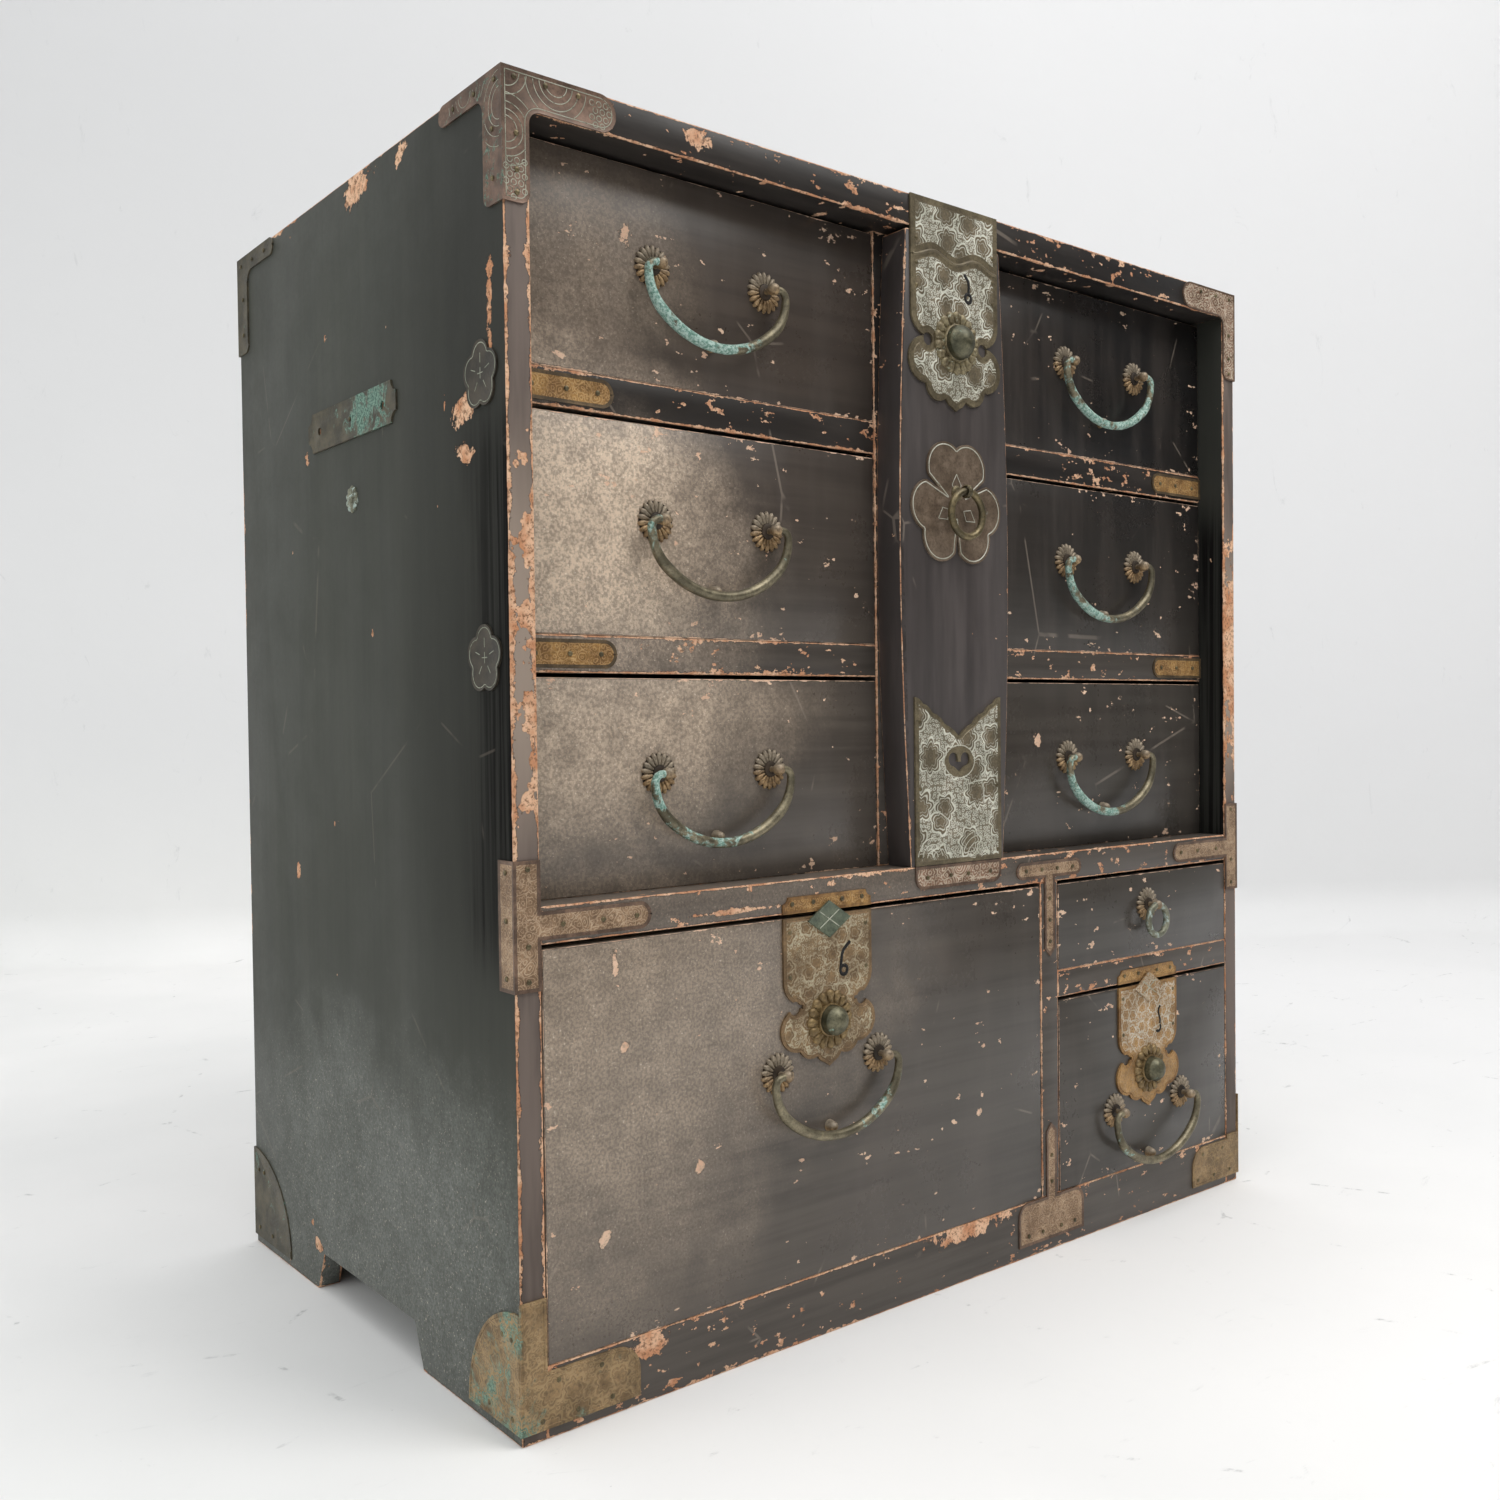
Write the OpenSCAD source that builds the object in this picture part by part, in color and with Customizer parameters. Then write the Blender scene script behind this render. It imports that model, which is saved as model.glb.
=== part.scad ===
// Chest of drawers with a lock bar, two upper banks of drawers and brass fittings
// Millimetres. x runs across the front, y runs back from the front face, z runs up from the floor.
// Shapes are drawn with y = 0 on the front face of the case, and in_case() centres the whole.

/* [Case] */
// Height of the case
case_h = 850; // [700:1:1050]
// Width of the case
case_w = 786; // [640:1:960]
// Depth of the case
case_d = 462; // [380:1:570]
// Thickness of the side boards
side_t = 18; // [15:0.5:24]
// Thickness of the top board
top_t = 24; // [20:0.5:30]
// Thickness of the back panel
back_t = 10; // [8:0.5:14]
// Height of the front base rail
base_h = 46; // [38:1:58]
// Thickness of the bottom board
bottom_t = 10; // [8:0.5:12]
// Depth of rails, posts and dividers, front to back
rail_d = 22; // [18:0.5:28]
// Thickness of the boards that the drawers run on, and of the partitions
shelf_t = 8; // [6:0.5:12]

/* [Fronts] */
// Floor to the underside of the middle rail
mid_rail_z = 311; // [262:1:370]
// Height of the middle rail
mid_rail_h = 24; // [20:0.5:30]
// How far the upper drawers lie behind the front face
recess = 26; // [24:0.5:32]
// Height of the dividers between the upper drawers
divider_h = 25; // [20:0.5:31]
// Width of the centre stile behind the lock bar
stile_w = 126; // [105:1:151]
// Middle of the stile and the lock bar, right of the middle of the case
stile_x = 5; // [-20:1:20]
// Width of the lower post
post_w = 22; // [18:1:28]
// Middle of the lower post, right of the middle of the case
post_x = 115; // [95:1:135]
// Height of the opening for the small drawer with a ring
ring_drawer_h = 76; // [64:1:90]
// Height of the rail under the small drawer
small_rail_h = 23; // [20:0.5:28]

/* [Side foot] */
// Length of the cut-out at the floor
notch_w = 188; // [150:1:226]
// Height of the cut-out
notch_h = 31; // [20:1:34]
// How far each end of the cut-out leans in
notch_lean = 13; // [5:1:20]

/* [Drawers] */
// Thickness of a drawer front
front_t = 20; // [18:0.5:26]
// Thickness of a drawer's sides and back
drawer_side_t = 10; // [8:0.5:12]
// Thickness of a drawer's bottom
drawer_bottom_t = 7; // [5:0.5:9]
// Gap on each side of a drawer
side_gap = 1; // [0.5:0.1:1.5]
// Gap over a drawer
top_gap = 3; // [2.5:0.1:4]
// Gap behind a drawer
rear_gap = 4; // [2:0.5:10]
// How much lower a drawer's sides are than its front
side_drop = 8; // [4:1:12]

/* [Handles] */
// Distance between the two posts of a handle
handle_span = 98; // [82:1:118]
// Height of the bail's pin line over the drawer face
pin_reach = 12; // [11:0.5:15]
// Radius of the pins at the ends of a bail
pin_r = 2.6; // [2.2:0.1:3]
// Radius of the rod of a bail
bail_r = 3.4; // [3:0.1:4]
// Pin line down to the lowest point of a bail's middle line
bail_drop = 50; // [46:1:58]
// From a post out to where the elbow of the bail starts
pin_out = 5; // [4:0.5:7]
// Radius of the bail's elbow
elbow_r = 6; // [5:0.5:8]
// Radius of the rounded sides of a bail
bail_side_r = 34; // [30:1:36]
// Radius of a post's shank
post_r = 2.2; // [1.8:0.1:2.6]
// Outer radius of a post's eye
eye_r = 5; // [4.6:0.1:5.6]
// Width of a post's eye
eye_w = 5; // [4:0.5:6]
// Gap round a pin in its eye
pin_gap = 0.1; // [0.05:0.01:0.1]
// Radius of a chrysanthemum rosette
rosette_r = 15; // [12:0.5:18]
// Height of a rosette at its middle
rosette_h = 4; // [3:0.5:5]
// How far a handle stands over the middle of an upper drawer
handle_up = 7; // [0:1:12]

/* [Rings] */
// Radius of the middle line of the bar's ring
bar_ring_r = 17.6; // [14:0.2:20]
// Radius of the middle line of the drawer's ring pull
pull_ring_r = 13.4; // [12:0.2:16]
// Radius of a ring pull's rod
ring_rod_r = 2.9; // [2.3:0.1:3.2]

/* [Locks] */
// Width of a drawer lock plate
lock_w = 86; // [74:1:100]
// Thickness of the lock plates and the plates on the bar
plate_t = 1.6; // [1.2:0.1:2.2]
// Thickness of straps and corner fittings
strap_t = 1.2; // [0.8:0.1:1.5]
// Top edge of a front down to its button
button_drop = 77; // [72:1:84]
// Top of the lock bar down to its button
bar_button_drop = 80; // [72:1:88]
// Radius of a drawer lock's button
button_r = 10.5; // [9:0.5:12]
// Radius of the bar lock's button
bar_button_r = 13; // [11:0.5:14]
// Height of a button over the wooden face
button_reach = 17; // [15:0.5:19]
// Travel of a button
button_travel = 6; // [4:0.5:6]
// Bolt travel for each unit of button travel
bolt_ratio = 1.5; // [1.2:0.1:1.5]
// Radius of the petal ring round a button
petal_r = 22; // [18:0.5:26]
// Radius of the petal ring round the bar's button
bar_petal_r = 25; // [20:0.5:28]
// Width of a bolt
bolt_w = 24; // [18:1:26]
// Thickness of a bolt
bolt_t = 5; // [4:0.5:5]
// Width of a lock case
lock_case_w = 48; // [44:1:56]
// Depth of a lock case
lock_case_d = 13.6; // [13.2:0.2:15]

/* [Lock bar] */
// How far each long edge of the bar bows out at the middle
bar_bow = 8.8; // [0:0.1:12]
// Gap on each side of the bar's widest part
bar_side_gap = 1.2; // [0.8:0.1:2]
// Depth of the bar's foot tenon
tenon_h = 8; // [6:0.5:9]
// Width of the foot tenon
tenon_w = 60; // [40:1:80]
// Thickness of the foot tenon
tenon_t = 10; // [8:0.5:12]
// Bare wood at each side of the plates on the bar
bar_edge = 4; // [2:0.5:8]
// Height of the bar's foot plate
foot_plate_h = 131; // [110:1:150]
// How far the bar's top plate hangs below the top board
top_plate_hang = 18; // [14:1:24]
// Middle of the blossom plate over the bar's foot
flower_z = 282; // [240:1:310]
// Radius over the lobes of the blossom plate
flower_r = 51; // [44:1:53]

/* [Fittings] */
// Length of a top corner fitting's arms
corner_l = 82; // [70:1:100]
// Length of a bottom corner fitting's front arm
foot_arm_l = 88; // [70:1:110]
// Length of the straps on the middle rail
strap_l = 84; // [70:1:100]
// Length of the straps on the dividers
divider_strap_l = 77; // [64:1:92]
// Height of the wraps at the middle of the stiles
wrap_h = 82; // [60:1:100]
// Height of the carrying handle's backing plate over the floor
side_plate_z = 675; // [560:1:760]
// Length of the carrying handle's backing plate
side_plate_l = 157; // [130:1:190]
// Distance between the two post holes of the carrying handle
side_hole_span = 113; // [90:1:135]
// Radius of the post holes
side_hole_r = 3; // [2:0.5:4]
// Radius of a blossom nail cover
cover_r = 22; // [18:0.5:24]
// Height of the upper nail cover over the floor
cover_high_z = 668; // [560:1:680]
// Height of the lower nail cover over the floor
cover_low_z = 490; // [430:1:530]
// Height of the sealing rosette on the side over the floor
side_rosette_z = 616; // [500:1:650]

/* [Hidden] */
$fn = 48;
eps = 0.01;
seam = 0.05;
nail_r = 1.6;
nail_h = 0.8;
clinch = 3;
front_reach = button_reach;
case_y = (front_reach - case_d - strap_t) / 2;
inner_w = case_w / 2 - side_t;
top_z = case_h - top_t;
mid_top = mid_rail_z + mid_rail_h;
row_h = (top_z - mid_top - 2 * divider_h) / 3;
small_top = mid_rail_z - ring_drawer_h;
small_low = small_top - small_rail_h;
stile_l = stile_x - stile_w / 2;
stile_r = stile_x + stile_w / 2;
post_l = post_x - post_w / 2;
post_right = post_x + post_w / 2;
back_y = case_d - back_t;
deep_rail = recess + rail_d;
bolt_travel = button_travel * bolt_ratio;
mortise_gap = 1;
mortise_h = bolt_travel - top_gap + 2 * mortise_gap;
big_x = (post_l - inner_w) / 2;
right_x = (post_right + inner_w) / 2;
bar_h = top_z - mid_top - top_gap;
bar_w = stile_w - 2 * bar_side_gap - 2 * bar_bow;
bar_plate_w = bar_w - 2 * bar_edge;
plate_gap = 0.5;
lock_case_wall = 1.2;
lock_top_wall = 5;
knob_room = 1.5;
function lock_case_h(drop, r) = drop + r + knob_room - lock_top_wall;
case_gap = 0.3;
key_x = 15;
key_post_r = 2.2;
key_z = -42;
key_slot_top = -20;
key_slot_w = 3;
key_hole_r = 3.4;
shaft_r = 4;
wedge_y = 0.4;
wedge_gap = 0.3;
bolt_y = 5;
leg_w = 8;
bolt_body_h = 44;
knob_back = 2;
heart_z = 80;

// Names of the sub-parts

// Colours
lacquer = [0.16, 0.14, 0.13];
side_lacquer = [0.17, 0.18, 0.17];
raw_wood = [0.62, 0.45, 0.30];
dark_wood = [0.12, 0.10, 0.09];
brass = [0.62, 0.50, 0.28];
copper = [0.55, 0.42, 0.34];
bronze = [0.36, 0.35, 0.27];
verdigris = [0.38, 0.52, 0.46];
iron = [0.25, 0.25, 0.26];

// Places of the openings
function row_z(r) = mid_top + r * (row_h + divider_h);
function col_l(c) = c == 0 ? -inner_w : stile_r;
function col_r(c) = c == 0 ? stile_l : inner_w;
function col_x(c) = (col_l(c) + col_r(c)) / 2;
function box_l(start) = back_y - rear_gap - start;

// Half the width of the lock bar at a height from its foot
function bar_half(z) = bar_w / 2 + bar_bow * sin(180 * z / bar_h);

// Wave of the seam between the top plate and the lock plate, across its width
wave_h = 3.5;
wave_steps = 24;
function wave(u) = wave_h * sin(720 * u - 90);
wave_line = [for (i = [0:wave_steps]) [(i / wave_steps - 0.5) * bar_plate_w, wave(i / wave_steps)]];

// Puts shapes in case coordinates into the part's frame
module in_case() translate([0, case_y, 0]) children();

// Draws a flat shape given in x and z, standing t out of the front face
module on_front(t) rotate([90, 0, 0]) linear_extrude(t) children();

// Draws a flat shape given in y and z, standing t out of the left side
module on_left(t) translate([-case_w / 2 - t, 0, 0]) rotate([90, 0, 90]) linear_extrude(t) children();

// A shape and its mirror image in the middle plane
module both_sides() {
    children();
    mirror([1, 0, 0]) children();
}

// Case

module side_board() {
    half = notch_w / 2;
    translate([-case_w / 2, 0, 0]) difference() {
        cube([side_t, case_d, case_h]);
        for (s = [-1, 1]) translate([-1, case_d / 2 + s * side_hole_span / 2, side_plate_z])
            rotate([0, 90, 0]) cylinder(h = side_t + 2, r = side_hole_r);
        translate([-eps, case_d / 2, 0]) rotate([90, 0, 90]) linear_extrude(side_t + 2 * eps)
            polygon([
                [-half, -eps],
                [-half + notch_lean, notch_h],
                [half - notch_lean, notch_h],
                [half, -eps]
            ]);
    }
}

module side_left() color(side_lacquer) in_case() side_board();

module side_right() color(side_lacquer) in_case() mirror([1, 0, 0]) side_board();

// A slot in the underside of a rail, where a bolt goes in
module mortise(x, z, y = 0) {
    w = bolt_w + 2 * mortise_gap;
    translate([x - w / 2, y + bolt_y - mortise_gap, z - eps])
        cube([w, bolt_t + 2 * mortise_gap, mortise_h + eps]);
}

module top_board() color(lacquer) in_case() difference() {
    translate([-inner_w, 0, top_z]) cube([2 * inner_w, case_d, top_t]);
    mortise(stile_x, top_z);
}

module bottom_board() color(dark_wood) in_case()
    translate([-inner_w, rail_d, base_h - bottom_t]) cube([2 * inner_w, back_y - rail_d, bottom_t]);

module base_rails() color(lacquer) in_case() {
    translate([-inner_w, 0, 0]) cube([2 * inner_w, rail_d, base_h]);
    translate([-inner_w, back_y - rail_d, 0]) cube([2 * inner_w, rail_d, base_h - bottom_t]);
}

module back_panel() color(dark_wood) in_case()
    translate([-inner_w, back_y, 0]) cube([2 * inner_w, back_t, top_z]);

module middle_rail() color(lacquer) in_case() difference() {
    translate([-inner_w, 0, mid_rail_z]) cube([2 * inner_w, deep_rail, mid_rail_h]);
    mortise(big_x, mid_rail_z);
    tenon_gap = 0.5;
    translate([stile_x - tenon_w / 2 - tenon_gap, tenon_y - tenon_gap, mid_top - tenon_h - tenon_gap])
        cube([tenon_w + 2 * tenon_gap, tenon_t + tenon_gap + tenon_back, tenon_h + 1]);
}

// The boards that the drawers run on: one under each upper row, and one under the small drawer
module drawer_shelves() color(dark_wood) in_case() {
    translate([-inner_w, deep_rail, mid_top - shelf_t]) cube([2 * inner_w, back_y - deep_rail, shelf_t]);
    for (c = [0, 1], r = [1, 2])
        translate([col_l(c), deep_rail, row_z(r) - shelf_t])
            cube([col_r(c) - col_l(c), back_y - deep_rail, shelf_t]);
    translate([post_right, rail_d, small_top - shelf_t])
        cube([inner_w - post_right, back_y - rail_d, shelf_t]);
}

module centre_stile() color(lacquer) in_case()
    translate([stile_l, recess, mid_top]) cube([stile_w, rail_d, top_z - mid_top]);

module partitions() color(dark_wood) in_case() {
    for (x = [stile_l, stile_r - shelf_t])
        translate([x, deep_rail, mid_top]) cube([shelf_t, back_y - deep_rail, top_z - mid_top]);
    translate([post_right - shelf_t, deep_rail, base_h])
        cube([shelf_t, back_y - deep_rail, mid_top - shelf_t - base_h]);
}

module dividers() color(lacquer) in_case() difference() {
    union() {
        for (c = [0, 1], r = [1, 2])
            translate([col_l(c), recess, row_z(r) - divider_h])
                cube([col_r(c) - col_l(c), rail_d, divider_h]);
        translate([post_right, 0, small_low]) cube([inner_w - post_right, rail_d, small_rail_h]);
    }
    mortise(right_x, small_low);
}

module lower_post() color(lacquer) in_case()
    translate([post_l, 0, base_h]) cube([post_w, deep_rail, mid_rail_z - base_h]);

// Metal on the case

// A strap with a round end and a slight point, from x = 0 to its tip, standing on z = 0
module strap_shape(l, h) {
    tip = h * 0.2;
    round_x = l - h * 0.53;
    square([round_x, h]);
    translate([round_x, h / 2]) circle(h / 2);
    translate([l - tip, h / 2]) rotate(45) square(tip * sqrt(2), center = true);
}

top_strip = 14;
edge_strip = 23;
back_leaf = 20;
foot_z = 7;
foot_h = 36;
shield_l = 68;
shield_h = 76;
leg_end_r = 7;

// Leg of a top corner, with its lower outer corner rounded
module leg_shape(w, h, r) polygon(concat([[0, 0]], bend_points(w - r, r, r, -90, 0), [[w, h], [0, h]]));

// Front leaf of a top corner: an arm along the top board and one down the stile, ending in curves
module top_front_shape() {
    x0 = -case_w / 2 - strap_t;
    translate([x0, case_h - top_t]) square([corner_l - top_t / 2 + strap_t, top_t]);
    translate([-case_w / 2 + corner_l - top_t / 2, case_h - top_t / 2]) circle(top_t / 2);
    translate([x0, case_h - corner_l]) leg_shape(side_t + strap_t, corner_l - top_t, leg_end_r);
    translate([x0 + side_t + strap_t, case_h - top_t]) mirror([0, 1]) inner_round(8);
}

// Side leaf of a top corner, in y and z, for a front corner
module top_side_shape() {
    translate([-strap_t, case_h - top_strip]) square([corner_l - top_strip / 2 + strap_t, top_strip]);
    translate([corner_l - top_strip / 2, case_h - top_strip / 2]) circle(top_strip / 2);
    translate([-strap_t, case_h - corner_l]) leg_shape(edge_strip + strap_t, corner_l - top_strip, leg_end_r);
    translate([edge_strip, case_h - top_strip]) mirror([0, 1]) inner_round(9);
}

// The same for a back corner
module top_back_shape() translate([case_d, 0]) mirror([1, 0]) top_side_shape();

module top_front_corner() {
    on_front(strap_t) top_front_shape();
    on_left(strap_t) top_side_shape();
}

module top_back_corner() {
    on_left(strap_t) top_back_shape();
    translate([-case_w / 2 - strap_t, case_d, case_h - corner_l]) cube([back_leaf, strap_t, corner_l]);
}

// Rounds the inner corner between two edges that meet at the origin
module inner_round(r) difference() {
    translate([-1, -1]) square(r + 1);
    translate([r, r]) circle(r);
}

// Points along an arc
function bend_points(x, y, r, a0, a1, n = 8) =
    [for (i = [0:n]) let (a = a0 + (a1 - a0) * i / n) [x + r * cos(a), y + r * sin(a)]];

// A block on z = 0 with rounded upper corners
module shoulder_block(w, h, r) polygon(concat(
    [[-w / 2, 0], [w / 2, 0]],
    bend_points(w / 2 - r, h - r, r, 0, 90),
    bend_points(-w / 2 + r, h - r, r, 90, 180)
));

// Side leaf of a bottom corner: a quarter leaf, in y and z
module shield_shape(l, h) translate([0, foot_z]) polygon(concat(
    [[-strap_t, h], [-strap_t, 0]],
    [for (a = [0:6:90]) [l * cos(a), h * sin(a)]]
));

// Front leaf of a bottom corner, in x and z: an arm with an ogee end, and on the left also a tall stile leaf
module foot_front_shape(tall, arm) {
    x0 = -case_w / 2 - strap_t;
    r = foot_h / 2;
    translate([x0, foot_z]) square([arm - r + strap_t, foot_h]);
    translate([-case_w / 2 + arm - r, foot_z]) square([r, r]);
    translate([-case_w / 2 + arm - r, foot_z + r]) circle(r);
    translate([x0, foot_z + foot_h]) square([side_t + strap_t, tall]);
}

module foot_front_corner(tall, arm) {
    on_front(strap_t) foot_front_shape(tall, arm);
    on_left(strap_t) shield_shape(shield_l, shield_h);
}

module foot_back_corner() {
    on_left(strap_t) translate([case_d, 0]) mirror([1, 0]) shield_shape(corner_l, shield_h);
    translate([-case_w / 2 - strap_t, case_d, foot_z]) cube([back_leaf, strap_t, shield_h]);
}

left_leaf = 47;
right_leaf = 4;
right_arm_cut = 14;

module corner_fittings() color(brass) in_case() {
    both_sides() {
        top_front_corner();
        top_back_corner();
        foot_back_corner();
    }
    foot_front_corner(left_leaf, foot_arm_l);
    mirror([1, 0, 0]) foot_front_corner(right_leaf, foot_arm_l - right_arm_cut);
}

mid_strap_h = 18;
divider_strap_h = 19;
t_w = 84;
t_bar_h = 14;
t_stem_w = 13;
t_stem_h = 60;
foot_t_h = 36;
foot_t_stem = 55;
foot_t_r = 11;
keeper_h = 18;
strike_h = 12;

// Wrap round a stile at the middle rail, with a strap that runs onto the rail
module stile_wrap() {
    on_front(strap_t) {
        translate([-case_w / 2 - strap_t, mid_top - wrap_h * 0.64]) square([side_t + strap_t, wrap_h]);
        translate([-case_w / 2 + side_t - eps, mid_rail_z + (mid_rail_h - mid_strap_h) / 2])
            strap_shape(strap_l, mid_strap_h);
    }
    on_left(strap_t) translate([-strap_t, mid_top - wrap_h * 0.64]) square([side_t + strap_t, wrap_h]);
}

// A stem with a pointed end, from just under z = 0 up to its tip
module stem_shape(w, h) polygon([[-w / 2, -1], [w / 2, -1], [w / 2, h], [0, h + w / 2], [-w / 2, h]]);

// T plate over the top of the lower post
module post_plate_top() on_front(strap_t) {
    z = mid_rail_z + 4;
    for (m = [0, 1]) mirror([m, 0]) translate([-eps, z]) strap_shape(t_w / 2, t_bar_h);
    translate([0, z]) mirror([0, 1]) stem_shape(t_stem_w, t_stem_h);
}

// Upside-down T plate at the foot of the lower post
module post_plate_foot() on_front(strap_t) {
    translate([0, base_h - foot_t_h]) shoulder_block(t_w, foot_t_h, foot_t_r);
    translate([0, base_h]) stem_shape(t_stem_w, foot_t_stem);
}

// Plate on the middle rail under the lock bar, with rounded lower corners
module keeper_plate() on_front(strap_t) translate([stile_x, mid_top]) mirror([0, 1])
    shoulder_block(bar_plate_w, keeper_h, 9);

// Plate on the rail over a drawer lock
module strike_plate(x, z) on_front(strap_t) difference() {
    translate([x - lock_w / 2, z]) square([lock_w, strike_h]);
    for (s = [-1, 1]) translate([x + s * lock_w / 2, z + strike_h]) circle(5);
}

module rail_fittings() color(brass) in_case() {
    both_sides() stile_wrap();
    for (r = [1, 2]) translate([0, recess, row_z(r) - divider_h + (divider_h - divider_strap_h) / 2]) {
        both_sides() translate([-inner_w, 0, 0]) on_front(strap_t)
            strap_shape(divider_strap_l, divider_strap_h);
    }
    translate([post_x, 0, 0]) post_plate_top();
    translate([post_x, 0, 0]) post_plate_foot();
    keeper_plate();
    strike_plate(big_x, mid_rail_z);
    strike_plate(right_x, small_low);
}

side_plate_h = 30;
side_rosette_r = 10.5;
cover_y = 31;

// A flower of n round petals
module flower(n, r, petal) {
    circle(r - petal);
    for (i = [0:n - 1]) rotate(90 + 360 / n * i) translate([r - petal, 0]) circle(petal);
}

// Backing plate of a carrying handle: cut corners and the two holes of the handle's posts
module backing_shape() difference() {
    square([side_plate_l, side_plate_h], center = true);
    for (i = [-1, 1], j = [-1, 1])
        translate([i * side_plate_l / 2, j * side_plate_h / 2]) circle(8);
    for (s = [-1, 1]) translate([s * side_hole_span / 2, 0]) circle(side_hole_r);
}

// A low dome on a face, with its flat back at y = 0 and its crown towards -y
module dome(r, h) {
    sphere_r = (r * r + h * h) / (2 * h);
    rotate([90, 0, 0]) rotate_extrude() intersection() {
        translate([0, h - sphere_r]) circle(sphere_r, $fn = 96);
        square([r, h]);
    }
}

module side_metal() {
    on_left(plate_t) translate([case_d / 2, side_plate_z]) backing_shape();
    for (z = [cover_low_z, cover_high_z])
        on_left(plate_t) translate([cover_y, z]) flower(5, cover_r, cover_r * 0.5);
    translate([-case_w / 2, case_d / 2, side_rosette_z]) rotate([0, 0, -90]) dome(side_rosette_r, 3);
}

module side_fittings() color(verdigris) in_case() both_sides() side_metal();

// Nail heads on the front face, in x and z
module nail() rotate([90, 0, 0]) cylinder(h = nail_h, r1 = nail_r, r2 = nail_r * 0.6, $fn = 24);

front_nails = [
    for (s = [-1, 1], d = [8, 30, 54]) [s * (case_w / 2 - d), case_h - 6],
    for (s = [-1, 1], d = [40, 62, 76]) [s * (case_w / 2 - 9), case_h - d],
    for (s = [-1, 1], d = [14, 40, 66]) [s * (case_w / 2 - d), foot_z + 6],
    for (s = [-1, 1], d = [26, 58]) [s * (case_w / 2 - d), foot_z + foot_h - 7],
    for (s = [-1, 1], d = [-46, -24, 24]) [s * (case_w / 2 - 9), mid_top + d],
    for (s = [-1, 1], d = [16, 46, 72]) [s * (inner_w - d), mid_rail_z + mid_rail_h / 2],
    for (d = [-30, -10, 10, 30]) [post_x + d, mid_rail_z + 4 + t_bar_h / 2],
    for (d = [18, 36, 54]) [post_x, mid_rail_z + 4 - d],
    for (s = [-1, 1], d = [12, 30]) [post_x + s * d, base_h - foot_t_h + 8],
    for (d = [12, 34]) [post_x, base_h + d],
    for (s = [-1, 1], d = [10, 36]) [stile_x + s * d, mid_top - 9],
    for (s = [-1, 1], d = [14, 34]) [big_x + s * d, mid_rail_z + 7],
    for (s = [-1, 1], d = [14, 34]) [right_x + s * d, small_low + 7]
];

recess_nails = [
    for (s = [-1, 1], r = [1, 2], d = [14, 40, 64]) [s * (inner_w - d), row_z(r) - divider_h / 2]
];

// Nail heads on the left side, in y and z
side_nails = [
    for (y = [8, 34, 62]) [y, case_h - top_strip / 2],
    for (y = [8, 34, 62]) [case_d - y, case_h - top_strip / 2],
    for (z = [36, 66]) [edge_strip / 2, case_h - z],
    for (z = [36, 66]) [case_d - edge_strip / 2, case_h - z],
    for (y = [10, 40]) [y, foot_z + 8],
    for (y = [10, 22]) [y, foot_z + 58],
    for (y = [10, 40]) [case_d - y, foot_z + 8],
    for (y = [10, 22]) [case_d - y, foot_z + 58],
    for (d = [-44, -8, 22]) [side_t / 2, mid_top + d]
];

module fitting_nails() color(bronze) in_case() {
    for (p = front_nails) translate([p[0], -strap_t, p[1]]) nail();
    for (p = recess_nails) translate([p[0], recess - strap_t, p[1]]) nail();
    both_sides() {
        for (p = side_nails)
            translate([-case_w / 2 - strap_t, p[0], p[1]]) rotate([0, 0, -90]) nail();
        translate([-case_w / 2 - plate_t, case_d / 2, side_plate_z]) rotate([0, 0, -90]) nail();
    }
}

// Handles and rings, drawn with the wooden face at y = 0 and the pin line at z = 0

// A post with an eye, clinched behind a front of thickness t
module eye_post(hole_r, outer_r, t) {
    difference() {
        union() {
            translate([0, t + clinch, 0]) rotate([90, 0, 0])
                cylinder(h = t + clinch + pin_reach - outer_r + 1, r = post_r);
            translate([-eye_w / 2, -pin_reach, 0]) rotate([0, 90, 0]) cylinder(h = eye_w, r = outer_r);
        }
        translate([-eye_w, -pin_reach, 0]) rotate([0, 90, 0]) cylinder(h = 2 * eye_w, r = hole_r);
    }
    translate([-7, t + eps, -1]) cube([14, 1.5, 2]);
}

// A ribbed round washer with a hole for a post
module rosette() difference() {
    union() {
        rotate([90, 0, 0]) cylinder(h = 1, r = rosette_r);
        translate([0, -1, 0]) dome(rosette_r - 0.5, rosette_h - 1);
    }
    translate([0, 1, 0]) rotate([90, 0, 0]) cylinder(h = rosette_h + 2, r = post_r + pin_gap);
}

stud_r = 4.5;
stud_h = pin_reach - bail_r - 0.4;
stud_z = -(bail_drop - 4);

module handle_mount(t) {
    for (s = [-1, 1]) translate([s * handle_span / 2, 0, 0]) {
        rosette();
        eye_post(pin_r + pin_gap, eye_r, t);
    }
    translate([0, 0, stud_z]) dome(stud_r, stud_h);
}

bail_half = handle_span / 2 + pin_out + elbow_r;
side_a = bail_half - bail_side_r;
low_a = bail_drop - elbow_r;
bail_low_r = (side_a * side_a + low_a * low_a - bail_side_r * bail_side_r) / (2 * (low_a - bail_side_r));
bail_turn = acos(side_a / (bail_low_r - bail_side_r));
ball_r = 4;
ball_gap = 0.4;

// A piece of a round rod bent to radius r, in the x z plane, from angle a0 over angle turn
module bent_rod(r, rod, a0, turn)
    rotate([90, 0, 0]) rotate([0, 0, a0]) rotate_extrude(angle = turn) translate([r, 0]) circle(rod);

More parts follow.
